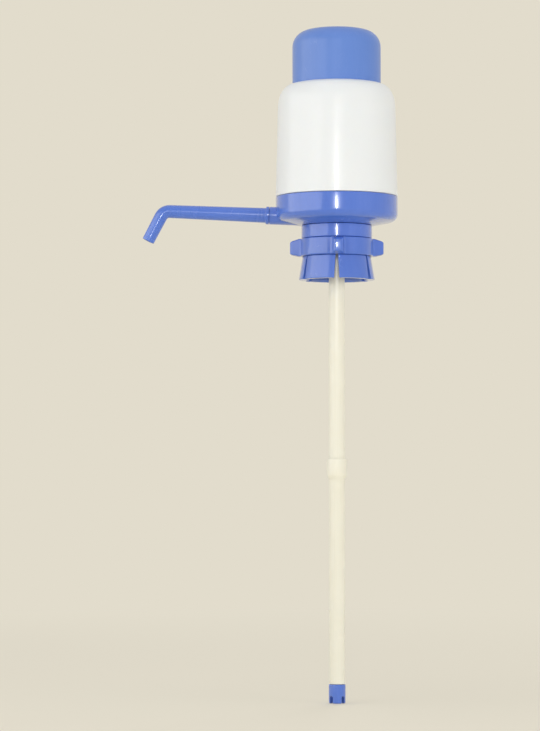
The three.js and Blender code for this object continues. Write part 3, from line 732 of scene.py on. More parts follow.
class GeometryTool(ABC):
    """A Geometry Nodes tree with named inputs, which makes or repeats a mesh."""

    name = "tool"
    inputs: Mapping[str, str] = {}  # label and kind of each named input

    def __init__(self) -> None:
        """Builds the tree."""
        self.tree = bpy.data.node_groups.new(self.name, "GeometryNodeTree")
        face = self.tree.interface
        face.new_socket("Geometry", in_out="OUTPUT", socket_type="NodeSocketGeometry")
        self.ids = {
            label: face.new_socket(label, in_out="INPUT", socket_type=f"NodeSocket{kind}").identifier
            for label, kind in {"Geometry": "Geometry", **self.inputs, "Material": "Material"}.items()
        }
        graph = NodeGraph(self.tree)
        given = graph.node("NodeGroupInput")
        real = graph.node("GeometryNodeRealizeInstances", {}, {0: self.grown(graph, given)})
        dress = {"Geometry": real, "Material": given.other("Material")}
        dressed = graph.node("GeometryNodeSetMaterial", {}, dress)
        self.tree.links.new(dressed.socket, self.tree.nodes.new("NodeGroupOutput").inputs[0])

    @abstractmethod
    def grown(self, graph: NodeGraph, given: Wire) -> Wire:
        """The tree's own nodes, from its input geometry, whose other outputs are the named inputs."""

    def used(self, body: Body, finish: Finish, **values: float) -> Body:
        """Runs the tree on a body.

        Args:
            body: The geometry that goes in.
            finish: What the result is made of.
            values: The named inputs, with _ for a space.

        Returns:
            The result as a plain mesh.
        """

        def prepare(bench: bpy.types.Object) -> None:
            """Adds the tree as a modifier, with its inputs set by identifier."""
            modifier = bench.modifiers.new(self.name, "NODES")
            modifier.node_group = self.tree
            modifier[self.ids["Material"]] = finish.material()
            for label, value in values.items():
                modifier[self.ids[label.replace("_", " ")]] = value

        return body.evaluated(prepare)


class RoundCopies(GeometryTool):
    """Copies of a mesh round Z, each turned with its place."""

    name = "round_copies"
    inputs = {"Count": "Int", "Circle": "Float", "Turn": "Float"}

    def grown(self, graph: NodeGraph, given: Wire) -> Wire:
        """A turned circle of points carries the copies."""
        circle = graph.node("GeometryNodeMeshCircle", {}, {"Vertices": given.other("Count"), "Radius": 1.0})
        at = graph.node("GeometryNodeInputPosition")
        facing = graph.node("FunctionNodeAlignRotationToVector", {"axis": "X"}, {"Vector": at})
        grow = {0: at, "Scale": given.other("Circle")}
        moved = graph.node("ShaderNodeVectorMath", {"operation": "SCALE"}, grow)
        shift = graph.node("ShaderNodeVectorMath", {"operation": "SUBTRACT"}, {0: moved, 1: at})
        set_out = {"Points": circle, "Instance": given, "Rotation": facing}
        turned = graph.node("GeometryNodeInstanceOnPoints", {}, set_out)
        spread = graph.node("GeometryNodeTranslateInstances", {}, {
            "Instances": turned, "Translation": shift, "Local Space": False,
        })
        turn = graph.node("ShaderNodeCombineXYZ", {}, {"Z": given.other("Turn")})
        return graph.node("GeometryNodeTransform", {}, {"Geometry": spread, "Rotation": turn})


class WoundWire(GeometryTool):
    """A round wire wound about Z, with its end turns closed up."""

    name = "wound_wire"
    inputs = {
        "Radius": "Float", "Wire": "Float", "Turns": "Float", "Height": "Float",
        "Steps": "Int", "Closed Share": "Float",
    }
    section_sides = 14
    eased = 0.35  # share of the rise that starts late and ends early

    def grown(self, graph: NodeGraph, given: Wire) -> Wire:
        """A spiral whose rise is held back at its ends, with a round section."""
        radius, closed = given.other("Radius"), given.other("Closed Share")
        spiral = graph.node("GeometryNodeCurveSpiral", {}, {
            "Resolution": given.other("Steps"), "Rotations": given.other("Turns"),
            "Start Radius": radius, "End Radius": radius, "Height": 0.0,
        })
        along = graph.node("GeometryNodeSplineParameter")
        rise = along.ramp(closed, 1 - closed) * self.eased + along * (1 - self.eased)
        lift = graph.node("ShaderNodeCombineXYZ", {}, {"Z": rise * given.other("Height")})
        risen = graph.node("GeometryNodeSetPosition", {}, {"Geometry": spiral, "Offset": lift})
        circle = {"Resolution": self.section_sides, "Radius": given.other("Wire")}
        section = graph.node("GeometryNodeCurvePrimitiveCircle", {}, circle)
        swept = {"Curve": risen, "Profile Curve": section, "Fill Caps": True}
        return graph.node("GeometryNodeCurveToMesh", {}, swept)


class FoldedSleeve(GeometryTool):
    """The middle surface of a bellows: a sleeve with evenly spaced folds."""

    name = "folded_sleeve"
    inputs = {
        "Crest": "Float", "Depth": "Float", "Folds": "Int", "Length": "Float",
        "End Zone": "Float", "Sides": "Int", "Rows": "Int",
    }

    def grown(self, graph: NodeGraph, given: Wire) -> Wire:
        """A plain sleeve from height 0, drawn in by a wave between its two end zones."""
        length, zone = given.other("Length"), given.other("End Zone")
        sleeve = graph.node("GeometryNodeMeshCylinder", {"fill_type": "NONE"}, {
            "Vertices": given.other("Sides"), "Side Segments": given.other("Rows"),
            "Radius": 1.0, "Depth": length,
        })
        place = graph.node("ShaderNodeSeparateXYZ", {}, {0: graph.node("GeometryNodeInputPosition")})
        height = place.other("Z") + length / 2
        held = graph.node("ShaderNodeClamp", {}, {"Value": (height - zone) / (length - zone * 2)})
        wave = (held * given.other("Folds") * (2 * math.pi)).cosine() * -0.5 + 0.5
        radius = given.other("Crest") - wave * given.other("Depth")
        drawn = graph.node("ShaderNodeCombineXYZ", {}, {
            "X": place.other("X") * radius, "Y": place.other("Y") * radius, "Z": height,
        })
        return graph.node("GeometryNodeSetPosition", {}, {"Geometry": sleeve, "Position": drawn})


STUB = Body.post(1.0, 0.0, 1.0, 8)  # goes into the tools that make their mesh from nothing
ROUND_COPIES = RoundCopies()
WOUND_WIRE = WoundWire()
FOLDED_SLEEVE = FoldedSleeve()


def copies(body: Body, finish: Finish, count: int, circle: float = 0.0, turn: float = 0.0) -> Body:
    """Copies of a body at a distance from Z, the first of them so many degrees from +X."""
    return ROUND_COPIES.used(body, finish, Count=count, Circle=circle, Turn=math.radians(turn))


def place(name: str, body: Body, finish: Finish, rider: Rider, *nodes: str) -> bpy.types.Object:
    """Makes a finished piece of a body and hands it to the frame.

    Args:
        name: The piece's name.
        body: Its mesh, in millimetres.
        finish: What it is made of.
        rider: The body of the frame that it moves with.
        nodes: The nodes that it stands for.

    Returns:
        The object, at the origin, with its place in its mesh.
    """
    mesh = body.mesh
    mesh.transform(Matrix.Scale(MM, 4))
    made = bmesh.new()
    made.from_mesh(mesh)
    for face in made.faces:
        face.smooth = True
        face.material_index = 0
    for edge in made.edges:
        edge.smooth = edge.calc_face_angle(math.pi) < SHARP_EDGE
    made.to_mesh(mesh)
    made.free()
    mesh.name = name
    mesh.materials.clear()
    mesh.materials.append(finish.material())
    piece = linked(name, mesh)
    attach(piece, rider.value)
    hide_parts(*nodes)
    LOG.info("%s: %d faces, in place of %s", name, len(mesh.polygons), ", ".join(nodes))
    return piece


def wound_bar(section: Outline, radius: float, low: float, pitch: float, turns: float, sides: int) -> Body:
    """A bar wound about Z that runs out at both ends, as the thread of a screw does.

    Args:
        section: Points of (outwards, up) from the core's surface.
        radius: Radius of the core.
        low: Height where the winding starts.
        pitch: Rise for each turn.
        turns: Number of turns.
        sides: Steps for each turn.

    Returns:
        The bar.
    """
    steps = round(turns * sides)
    fade = sides / 4  # steps in which it grows to its full depth
    loops = []
    for i in range(steps + 1):
        angle = i / sides * 2 * math.pi
        reach = min(1.0, (i + 1) / fade, (steps - i + 1) / fade)
        around = Vector((math.cos(angle), math.sin(angle), 0))
        rise = low + pitch * i / sides
        loops.append([
            around * (radius + (out * reach if out > 0 else out)) + Vector((0, 0, rise + up))
            for out, up in section
        ])
    return Body.skinned(loops, joined=False)


def ring_seal(radius: float, section: float) -> Body:
    """A sealing ring about Z at height 0, with a round section."""
    return Body.turned(72, *arc((radius, 0), section, 0, 360)[:-1])


@dataclass(frozen=True)
class Screw:
    """A self-cutting pan-head screw that points up, with its head's seat at height 0."""

    head_radius: float = 3.2
    head_height: float = 2.2
    crown_share: float = 0.6  # of the head's radius that is flat on top
    flank_share: float = 0.55  # of the head's height where its side is widest
    shank_radius: float = 1.15
    thread_depth: float = 0.3
    thread_pitch: float = 1.2
    thread_foot: float = 0.3  # half of its width at the core, as a share of the pitch
    thread_crest: float = 0.05  # half of its width at the edge
    thread_sink: float = 0.2
    length: float = 12.3
    recess_width: float = 0.9
    recess_depth: float = 1.1
    recess_share: float = 0.55  # of the head's radius that the cross reaches

    def body(self) -> Body:
        """The screw, with a cross recess and a wound thread."""
        head, crown, shank = self.head_radius, -self.head_height, self.shank_radius
        cone = self.length - 2 * shank
        plain = Body.turned(
            32, (0, crown), (head * self.crown_share, crown, 0.8),
            (head, crown * self.flank_share, 0.9), (head, 0), (shank, 0), (shank, cone), (0, self.length),
        )
        pitch, out, edge = self.thread_pitch, self.thread_depth, self.thread_crest
        half = pitch * self.thread_foot
        section = [(-self.thread_sink, -half), (out, -edge), (out, edge), (-self.thread_sink, half)]
        thread = wound_bar(section, shank, pitch, pitch, (cone - 2 * pitch) / pitch, 16)
        reach, side = head * self.recess_share, self.recess_width / 2
        low, high = crown - OVERRUN, crown + self.recess_depth
        bars = [Body.block((-x, -y, low), (x, y, high)) for x, y in ((reach, side), (side, reach))]
        return plain.joined(thread).cut(*bars)


@dataclass(frozen=True)
class ScrewRing:
    """Screws that stand round the axis, and the pillars that they go in."""

    node: str
    count: int
    turn: float
    pillar_radius: float = 3.6

    @property
    def nodes(self) -> list[str]:
        """The nodes of the screws."""
        return [f"{self.node}_{i + 1}" for i in range(self.count)]

    def copies(self, body: Body, finish: Finish) -> Body:
        """A body at the place of each screw."""
        return copies(body, finish, self.count, Extent.of(self.nodes[0]).circle, self.turn)

    def pillars(
        self, finish: Finish, low: float, high: float, hole: tuple[float, float]
    ) -> tuple[Body, Body]:
        """The pillars and the pilot holes in them.

        Args:
            finish: What the pillars are made of.
            low: Height of their foot.
            high: Height of their top.
            hole: Heights between which the holes run.

        Returns:
            The pillars, and what is to be cut from them.
        """
        pillar = Body.post(self.pillar_radius, low, high, 32)
        pilot = Body.post(Screw.shank_radius + SINK, *hole, 24)
        return self.copies(pillar, finish), self.copies(pilot, finish)


HEAD_SCREWS = ScrewRing("head_screw", 3, 60)
PLATE_SCREWS = ScrewRing("plate_screw", 4, 45)


@dataclass
class ClampPlate:
    """A plate that clamps one end of the bellows, with its screws and its flap valve."""

    node: str
    screws: ScrewRing
    valve: str
    rider: Rider
    flap: Rider
    ring_up: bool
    thickness: float = 3.0
    ring_wall: float = 2.0
    ring_bore_radius: float = 21.8
    port_count: int = 5
    port_radius: float = 1.7
    port_circle: float = 5.2
    stem_hole: float = 1.7
    screw_hole: float = 1.6
    flap_radius: float = 7.95
    flap_edge: float = 0.9  # how much lower its middle is than its edge
    stem_radius: float = 1.4
    bulb_radius: float = 2.35
    bulb_height: float = 2.6

    def build(self) -> None:
        """Builds the plate, its screws and its valve."""
        extent = Extent.of(self.node)
        self.low = extent.low if self.ring_up else extent.high - self.thickness
        self.valve_x = round(Extent.of(self.valve).middle.x)
        self.plate(extent)
        self.fasteners()
        self.flap_valve()

    def plate(self, extent: Extent) -> None:
        """The disc with its spring ring, ports and holes."""
        low, high = self.low, self.low + self.thickness
        bore, outer = self.ring_bore_radius, self.ring_bore_radius + self.ring_wall
        disc = Body.turned(96, (0, low), (extent.radius, low, 0.6), (extent.radius, high, 0.6), (0, high))
        root, end = (high - SINK, extent.high) if self.ring_up else (low + SINK, extent.low)
        ring = Body.turned(96, (bore, root), (outer, root), (outer, end, 0.5), (bore, end, 0.5))
        through = (low - OVERRUN, high + OVERRUN, 24)
        ports = copies(Body.post(self.port_radius, *through), PLATE_GREY, self.port_count, self.port_circle)
        stem = Body.post(self.stem_hole, *through).at(self.valve_x, 0)
        holes = self.screws.copies(Body.post(self.screw_hole, *through), PLATE_GREY)
        made = disc.joined(ring).cut(ports.at(self.valve_x, 0), stem, holes)
        place(self.node.replace("plate", "clamp_disc"), made, PLATE_GREY, self.rider, self.node)

    def fasteners(self) -> None:
        """The screws, as one piece for the body that they ride on."""
        screw, extent = Screw(), Extent.of(self.screws.nodes[0])
        if self.ring_up:
            upturned = screw.body().moved(Matrix.Rotation(math.pi, 4, "X"))
            single = upturned.at(0, 0, extent.high - screw.head_height)
        else:
            single = screw.body().at(0, 0, extent.low + screw.head_height)
        made = self.screws.copies(single, SCREW_STEEL)
        place(f"{self.screws.node}_set", made, SCREW_STEEL, self.rider, *self.screws.nodes)

    def flap_valve(self) -> None:
        """The rubber flap, with its stem and the bulb that holds it."""
        extent = Extent.of(self.valve)
        low, high, face = extent.low, extent.high, self.low - SEAT_GAP
        radius, stem, shoulder = self.flap_radius, self.stem_radius, high - self.bulb_height
        made = Body.turned(
            64, (0, low), (radius / 2, low, 2.0), (radius, low + self.flap_edge, 0.3), (radius, face, 0.1),
            (stem, face, 0.2), (stem, shoulder, 0.2), (self.bulb_radius, shoulder, 0.3),
            (stem, high, 0.4), (0, high),
        )
        place(f"{self.valve}_flap", made.at(self.valve_x, 0), VALVE_RUBBER, self.flap, self.valve)


@dataclass
class PressHead:
    """The cap that the palm presses down, with what hangs under it."""

    wall: float = 2.5
    ceiling: float = 3.0
    corner: float = 15.5
    flange_width: float = 3.5
    flange_height: float = 3.4
    vent_count: int = 3
    vent_width: float = 10.0
    vent_height: float = 2.4
    pilot_depth: float = 13.0
    skin: float = 0.2  # between the pillars and the outer face

    def build(self) -> None:
        """Builds the cap and the plate with its screws and valve."""
        self.cap()
        ClampPlate(
            "head_plate", HEAD_SCREWS, "intake_valve", Rider.HEAD, Rider.INTAKE_FLAP, ring_up=False
        ).build()

    def cap(self) -> None:
        """The cap: a skirt with a stop flange, vents and three screw pillars."""
        extent = Extent.of("pump_head")
        low, top, flange = extent.low, extent.high, extent.radius
        radius, ceiling = flange - self.flange_width, top - self.ceiling
        inner = radius - self.wall
        foot = Extent.of("bellows").high + SEAT_GAP
        shelf = foot + self.flange_height
        shell = Body.turned(
            160, (inner, foot, 0.5), (flange, foot, 0.5), (flange, shelf, 0.8), (radius, shelf, 0.6),
            (radius, top, self.corner), (0, top), (0, ceiling), (inner, ceiling, self.corner - self.wall),
        )
        vent = Body.block(
            (inner - OVERRUN, -self.vent_width / 2, shelf + SEAT_GAP),
            (radius + OVERRUN, self.vent_width / 2, shelf + SEAT_GAP + self.vent_height),
        )
        vents = copies(vent, SATIN_BLUE, self.vent_count)
        side, crown = radius - self.skin, top - self.skin
        filled = Body.turned(160, (0, low), (side, low), (side, crown, self.corner - self.skin), (0, crown))
        hole = (low - OVERRUN, low + self.pilot_depth)
        pillars, pilots = HEAD_SCREWS.pillars(SATIN_BLUE, low, ceiling + SINK, hole)
        made = shell.joined(pillars.within(filled)).cut(pilots, vents)
        place("head_cap", made, SATIN_BLUE, Rider.HEAD, "pump_head")


@dataclass
class AirCylinder:
    """The white case and what works inside it: bellows, spring and valve plate."""

    wall: float = 2.5
    lip: float = 3.0
    shoulder: float = 13.3
    shoulder_height: float = 21.0
    shoulder_sweep: float = 84.0
    spigot_wall: float = 2.4
    spigot_inset: float = 3.1
    mouth_gap: float = 0.6
    mouth_edge: float = 0.35
    rubber_wall: float = 1.5
    rubber_flange: float = 2.0
    fold_depth: float = 8.5
    fold_count: int = 5
    fold_clearance: float = 7.8
    spring_wire: float = 1.1
    spring_turns: float = 7.0
    spring_end_share: float = 0.14

    def build(self) -> None:
        """Builds the case, the bellows, the spring and the lower plate."""
        self.case()
        self.bellows()
        self.spring()
        ClampPlate(
            "valve_plate", PLATE_SCREWS, "outlet_valve", Rider.PUMP, Rider.OUTLET_FLAP, ring_up=True
        ).build()

    def case(self) -> None:
        """The cover: a draughted wall, a round shoulder and a spigot that fits in the base."""
        extent = Extent.of("cylinder_case")
        top, radius = extent.high, extent.radius
        foot = Extent.of("base").high + SEAT_GAP
        mouth = Extent.of("pump_head").radius - PressHead.flange_width + self.mouth_gap
        spigot = radius - self.spigot_inset
        lining = spigot - self.spigot_wall
        under, bend = top - self.lip, top - self.shoulder_height
        outside = arc((mouth, bend), self.shoulder, 0, self.shoulder_sweep, self.shoulder_height)
        rise = self.shoulder_height - self.lip / 2
        inside = arc((mouth, bend), self.shoulder - self.wall, 90, 0, rise)
        shell = Body.turned(
            192, (lining, extent.low, 0.5), (spigot, extent.low, 0.6), (spigot, foot, 0.2),
            (radius, foot, 0.9), *outside, (mouth + self.mouth_edge, top, 0.3),
            (mouth, top - self.mouth_edge, 0.3), (mouth, under, 0.3),
            *[(r, min(z, under)) for r, z in inside[1:]],
            (radius - self.wall, foot + self.wall, 0.8), (lining, foot, 0.8),
        )
        place("case_shell", shell, CASE_WHITE, Rider.PUMP, "cylinder_case")

    def bellows(self) -> None:
        """The rubber bellows: a folded sleeve with a flat flange at each end."""
        extent = Extent.of("bellows")
        half = self.rubber_wall / 2
        crest = extent.radius - MARGIN
        hole = crest - self.fold_depth - self.rubber_wall
        sleeve = FOLDED_SLEEVE.used(
            STUB, BELLOWS_RUBBER, Crest=crest - half, Depth=self.fold_depth - half,
            Folds=self.fold_count, Length=extent.length - 2 * half, End_Zone=self.fold_clearance,
            Sides=120, Rows=110,
        )

        def thicken(bench: bpy.types.Object) -> None:
            """Gives the sleeve its wall."""
            modifier = bench.modifiers.new("wall", "SOLIDIFY")
            modifier.thickness = self.rubber_wall
            modifier.offset = 0.0

        made = sleeve.evaluated(thicken).at(0, 0, extent.low + half)
        for low in (extent.low, extent.high - self.rubber_flange):
            high = low + self.rubber_flange
            made = made.joined(
                Body.turned(120, (hole, low, 0.3), (crest, low, 0.6), (crest, high, 0.6), (hole, high, 0.3))
            )
        self.squashed(place("rubber_bellows", made, BELLOWS_RUBBER, Rider.PUMP, "bellows"), extent)

    def spring(self) -> None:
        """The return spring between the two plates."""
        extent, wire = Extent.of("return_spring"), self.spring_wire
        coil = WOUND_WIRE.used(
            STUB, SPRING_STEEL, Radius=extent.radius - wire, Wire=wire,
            Turns=self.spring_turns, Height=extent.length - 2 * wire, Steps=40,
            Closed_Share=self.spring_end_share,
        ).at(0, 0, extent.low + wire)
        self.squashed(place("coil_spring", coil, SPRING_STEEL, Rider.PUMP, "return_spring"), extent)

    def squashed(self, piece: bpy.types.Object, extent: Extent) -> None:
        """Gives the piece a mesh of its own. The share of its length that the pressed head would keep is
        worked out but not used, so nothing squashes the piece.
        """
        travel = joint("head_press")["range_m"][1] / MM
        keep = (extent.length - travel) / extent.length
        extent.low * MM
        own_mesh(piece)


@dataclass
class Socket:
    """The line that the spout turns about, from the axis to the mouth of its socket."""

    root: Vector
    tilt: float
    distance: float

    @classmethod
    def from_frame(cls) -> "Socket":
        """Reads the line from the joint that the spout turns on."""
        swivel = joint("spout_swivel")
        mouth = Vector(swivel["pos_m"]) / MM
        axis = Vector(swivel["axis"]).normalized()
        distance = mouth.x / axis.x
        return cls(mouth - axis * distance, math.atan2(axis.z, -axis.x), distance)

    def upright(self) -> Matrix:
        """Lays an upright body along the line, its height being the distance from the axis."""
        lay = Matrix.Rotation(self.tilt - math.pi / 2, 4, "Y")
        return Matrix.Translation(self.root) @ lay

    def mouth(self) -> Matrix:
        """The frame of the socket's mouth, with the spout's arm along -X."""
        out = Vector((-math.cos(self.tilt), 0, math.sin(self.tilt))) * self.distance
        return Matrix.Translation(self.root + out) @ Matrix.Rotation(self.tilt, 4, "Y")


@dataclass
class BowlBase:
    """The blue base: a bowl with a collar, a nozzle and the water channel to the spout."""

    height: float = 27.0
    foot_radius: float = 34.2
    floor: float = 3.0
    slope: float = 0.198
    corner: float = 7.4
    corner_wall: float = 2.5
    floor_drop: float = 0.9  # how much thinner the floor is under the corner
    rim_wall: float = 2.8
    rim_edge: float = 0.8
    collar_wall: float = 3.0
    collar_length: float = 10.7
    snap_depth: float = 0.7
    snap_height: float = 2.4
    nozzle_radius: float = 5.75
    nozzle_bore: float = 3.2
    seal_section: float = 1.3
    seal_gap: float = 0.25
    seal_depth: float = 16.0
    channel_radius: float = 7.0
    channel_bore: float = 3.6
    socket_depth: float = 18.0
    socket_wall: float = 2.0
    socket_bore: float = 6.45
    seat_wall: float = 4.0
    seat_reach: float = 10.0
    air_hole_radius: float = 3.5
    air_hole_circle: float = 18.0
    air_hole_angles: tuple[float, ...] = (-60.0, 0.0, 60.0)
    pilot_depth: float = 12.0
    skin: float = 0.2  # between the inner fittings and the outer face

    def build(self) -> None:
        """Builds the base and the sealing ring of its nozzle."""
        extent = Extent.of("base")
        self.foot, self.rim, self.radius = extent.low, extent.high, extent.radius
        self.under = self.rim - self.height
        self.inside = self.under + self.floor
        self.knee = self.under + (self.radius - self.foot_radius) * self.slope
        self.socket = Socket.from_frame()
        self.base()
        self.tube_seal()

    def bowl(self) -> Body:
        """The thin-walled bowl with its rim."""
        inner = self.radius - self.rim_wall
        return Body.turned(
            192, (0, self.under), (self.foot_radius, self.under, 1.0), (self.radius, self.knee, self.corner),
            (self.radius, self.rim, self.rim_edge), (inner, self.rim, self.rim_edge / 2),
            (inner, self.knee + self.floor - self.floor_drop, self.corner - self.corner_wall),
            (self.foot_radius, self.inside), (0, self.inside),
        )

    def filled(self) -> Body:
        """The room inside the bowl's outer face, which its fittings stay in."""
        low, side = self.under + self.skin, self.radius - self.skin
        return Body.turned(
            192, (0, low), (self.foot_radius, low), (side, self.knee + self.skin / 2, self.corner),
            (side, self.rim), (0, self.rim),
        )

    def collar(self) -> Body:
        """The collar that the adapter snaps on, with its bead."""
        outer = Extent.of("neck_gasket").radius
        inner, foot, top = outer - self.collar_wall, self.under - self.collar_length, self.under + SINK
        bead, half = self.under - self.collar_length / 2, self.snap_height / 2
        return Body.turned(
            128, (inner, top), (inner, foot, 0.4), (outer, foot, 0.6), (outer, bead - half),
            (outer + self.snap_depth, bead, 0.6), (outer, bead + half), (outer, top),
        )

    def nozzle(self) -> Body:
        """The nozzle under the base that the upper tube is pushed on."""
        radius, groove = self.nozzle_radius, self.nozzle_radius - self.seal_section - self.seal_gap
        middle, half = self.under - self.seal_depth, self.seal_section / 2 + self.seal_gap
        low, high = middle - half, middle + half
        return Body.turned(
            64, (0, self.inside), (0, self.foot), (radius, self.foot, 1.2), (radius, low), (groove, low),
            (groove, high), (radius, high), (radius, self.inside),
        )

    def boss(self) -> Body:
        """The boss of the spout's socket, which runs into the bowl as far as its flat foot."""
        radius, start, end = self.socket_bore + self.socket_wall, self.foot_radius, self.socket.distance
        return Body.turned(96, (0, start), (radius, start), (radius, end, 0.7), (0, end))

    def base(self) -> None:
        """Joins the parts of the base and cuts its ways."""
        bellows = Extent.of("bellows")
        seat_top = bellows.low - SEAT_GAP
        middle, half = bellows.radius - self.seat_reach / 2, self.seat_wall / 2
        low, inner, outer = self.inside - SINK, middle - half, middle + half
        seat = Body.turned(96, (inner, low), (outer, low), (outer, seat_top, 0.4), (inner, seat_top, 0.4))
        top = Extent.of("valve_plate").low - SEAT_GAP
        pillars, pilots = PLATE_SCREWS.pillars(
            GLOSS_BLUE, low, top, (top - self.pilot_depth, top + OVERRUN)
        )
        upright, floor = self.socket.upright(), self.socket.distance - self.socket_depth
        channel = Body.post(self.channel_radius, 0, floor, 64).moved(upright)
        dome = Body.turned(64, *arc((0, 0), self.channel_radius, -90, 90)).at(*self.socket.root)
        fittings = seat.joined(pillars, channel, dome).within(self.filled())
        room = Body.post(self.radius - self.rim_wall, seat_top, self.rim + self.height, 192)
        boss = self.boss().moved(upright).cut(room)
        whole = self.bowl().joined(self.collar(), self.nozzle(), fittings, boss)
        air_hole = Body.post(self.air_hole_radius, self.under - OVERRUN, self.inside + OVERRUN, 32)
        air_holes = [
            air_hole.at(self.air_hole_circle * math.cos(a), self.air_hole_circle * math.sin(a))
            for a in map(math.radians, self.air_hole_angles)
        ]
        socket_hole = Body.post(self.socket_bore, floor, self.socket.distance + OVERRUN, 64)
        channel_hole = Body.post(self.channel_bore, 0, floor + OVERRUN, 48)
        nozzle_hole = Body.post(self.nozzle_bore, self.foot - OVERRUN, self.under + self.channel_radius, 48)
        made = whole.cut(
            pilots, *air_holes, socket_hole.moved(upright), channel_hole.moved(upright), nozzle_hole
        )
        place("base_bowl", made, GLOSS_BLUE, Rider.PUMP, "base")

    def tube_seal(self) -> None:
        """The sealing ring between the nozzle and the upper tube."""
        extent = Extent.of("tube_seal")
        section = extent.length / 2
        ring = ring_seal(extent.radius - section, section).at(0, 0, extent.middle.z)
        place("tube_sealing_ring", ring, SEAL_RUBBER, Rider.PUMP, "tube_seal")


@dataclass
class SpoutArm:
    """The no-splash spout: a tapered arm, an elbow and a leg, turning in the base's socket."""

    nozzle_length: float = 17.0
    nozzle_radius: float = 6.15
    nozzle_bore: float = 3.4
    collar_radius: float = 8.45
    collar_width: float = 3.0
    groove_radius: float = 4.6
    groove_width: float = 1.8
    seal_places: tuple[float, float] = (5.0, 10.5)
    seal_gap: float = 0.125
    collar_fillet: float = 0.4
    arm_length: float = 101.0
    root_radius: float = 7.1
    elbow_side_radius: float = 6.2
    bore: float = 4.1
    elbow_radius: float = 9.0
    elbow_turn: float = 65.0
    leg: float = 26.5
    tip_radius: float = 5.9
    tip_bore: float = 4.5
    sides: int = 72
    step: float = 1.6

    def build(self) -> None:
        """Builds the spout and its two sealing rings."""
        turn = math.radians(self.elbow_turn)
        self.elbow_start = self.arm_length - self.elbow_radius * math.tan(turn / 2)
        self.elbow_end = self.elbow_start + self.elbow_radius * turn
        self.mouth = Socket.from_frame().mouth()
        self.spout()
        self.seals()

    def station(self, distance: float) -> Matrix:
        """The frame of a point on the spout's centreline.

        Args:
            distance: Length along the line from the socket's mouth.

        Returns:
            A frame whose X axis points along the line.
        """
        bent = min(max(distance - self.elbow_start, 0.0), self.elbow_end - self.elbow_start)
        angle = bent / self.elbow_radius
        ahead = max(0.0, distance - self.elbow_end)
        x = min(distance, self.elbow_start) + self.elbow_radius * math.sin(angle) + ahead * math.cos(angle)
        z = self.elbow_radius * (1 - math.cos(angle)) + ahead * math.sin(angle)
        return Matrix.Translation((-x, 0, -z)) @ Matrix.Rotation(math.pi - angle, 4, "Y")

    def divided(self, outline: Outline) -> Outline:
        """The outline with points added where a side is longer than a step."""
        points: Outline = []
        for start, end in zip(outline, outline[1:] + outline[:1]):
            count = max(1, math.ceil(math.dist(start, end) / self.step))
            for i in range(count):
                points.append(tuple(a + (b - a) * (i / count) for a, b in zip(start, end)))
        return points

    def spout(self) -> None:
        """Sweeps the spout's wall along its centreline."""
        nozzle, start, half = self.nozzle_radius, -self.nozzle_length, self.groove_width / 2
        grooves: list[Corner] = []
        for middle in sorted(self.seal_places, reverse=True):
            low, high = -middle - half, half - middle
            grooves += [(low, nozzle, 0.15), (low, self.groove_radius, 0.2),
                        (high, self.groove_radius, 0.2), (high, nozzle, 0.15)]
        face, root = SEAT_GAP, SEAT_GAP + self.collar_width
        tip, side = self.elbow_end + self.leg, self.elbow_side_radius
        wall = rounded([
            (start, nozzle, 0.9), *grooves, (face, nozzle, 0.2), (face, self.collar_radius, 0.5),
            (root, self.collar_radius, 0.8), (root + self.collar_fillet, self.root_radius, 0.7),
            (self.elbow_start, side), (self.elbow_end, side), (tip, self.tip_radius, 0.6),
            (tip, self.tip_bore, 0.3), (self.elbow_end, self.bore), (root, self.bore),
            (face, self.nozzle_bore), (start, self.nozzle_bore, 0.3),
        ])
        turns = spaced(self.sides)
        loops = []
        for distance, radius in self.divided(wall):
            at = self.mouth @ self.station(distance)
            loops.append([at @ Vector((0, radius * math.sin(a), radius * math.cos(a))) for a in turns])
        place("spout_tube", Body.skinned(loops, joined=True), SPOUT_BLUE, Rider.SPOUT, "spout")

    def seals(self) -> None:
        """The sealing rings in the grooves."""
        inner, outer = self.groove_radius + self.seal_gap, BowlBase.socket_bore - self.seal_gap
        section = min(BowlBase.seal_section, outer - inner) / 2
        ring = ring_seal((inner + outer) / 2, section).moved(Matrix.Rotation(math.pi / 2, 4, "Y"))
        for i, middle in enumerate(self.seal_places):
            name = f"spout_seal_{i + 1}"
            seal = ring.moved(self.mouth @ Matrix.Translation((middle, 0, 0)))
            place(f"{name}_ring", seal, SEAL_RUBBER, Rider.SPOUT, name)


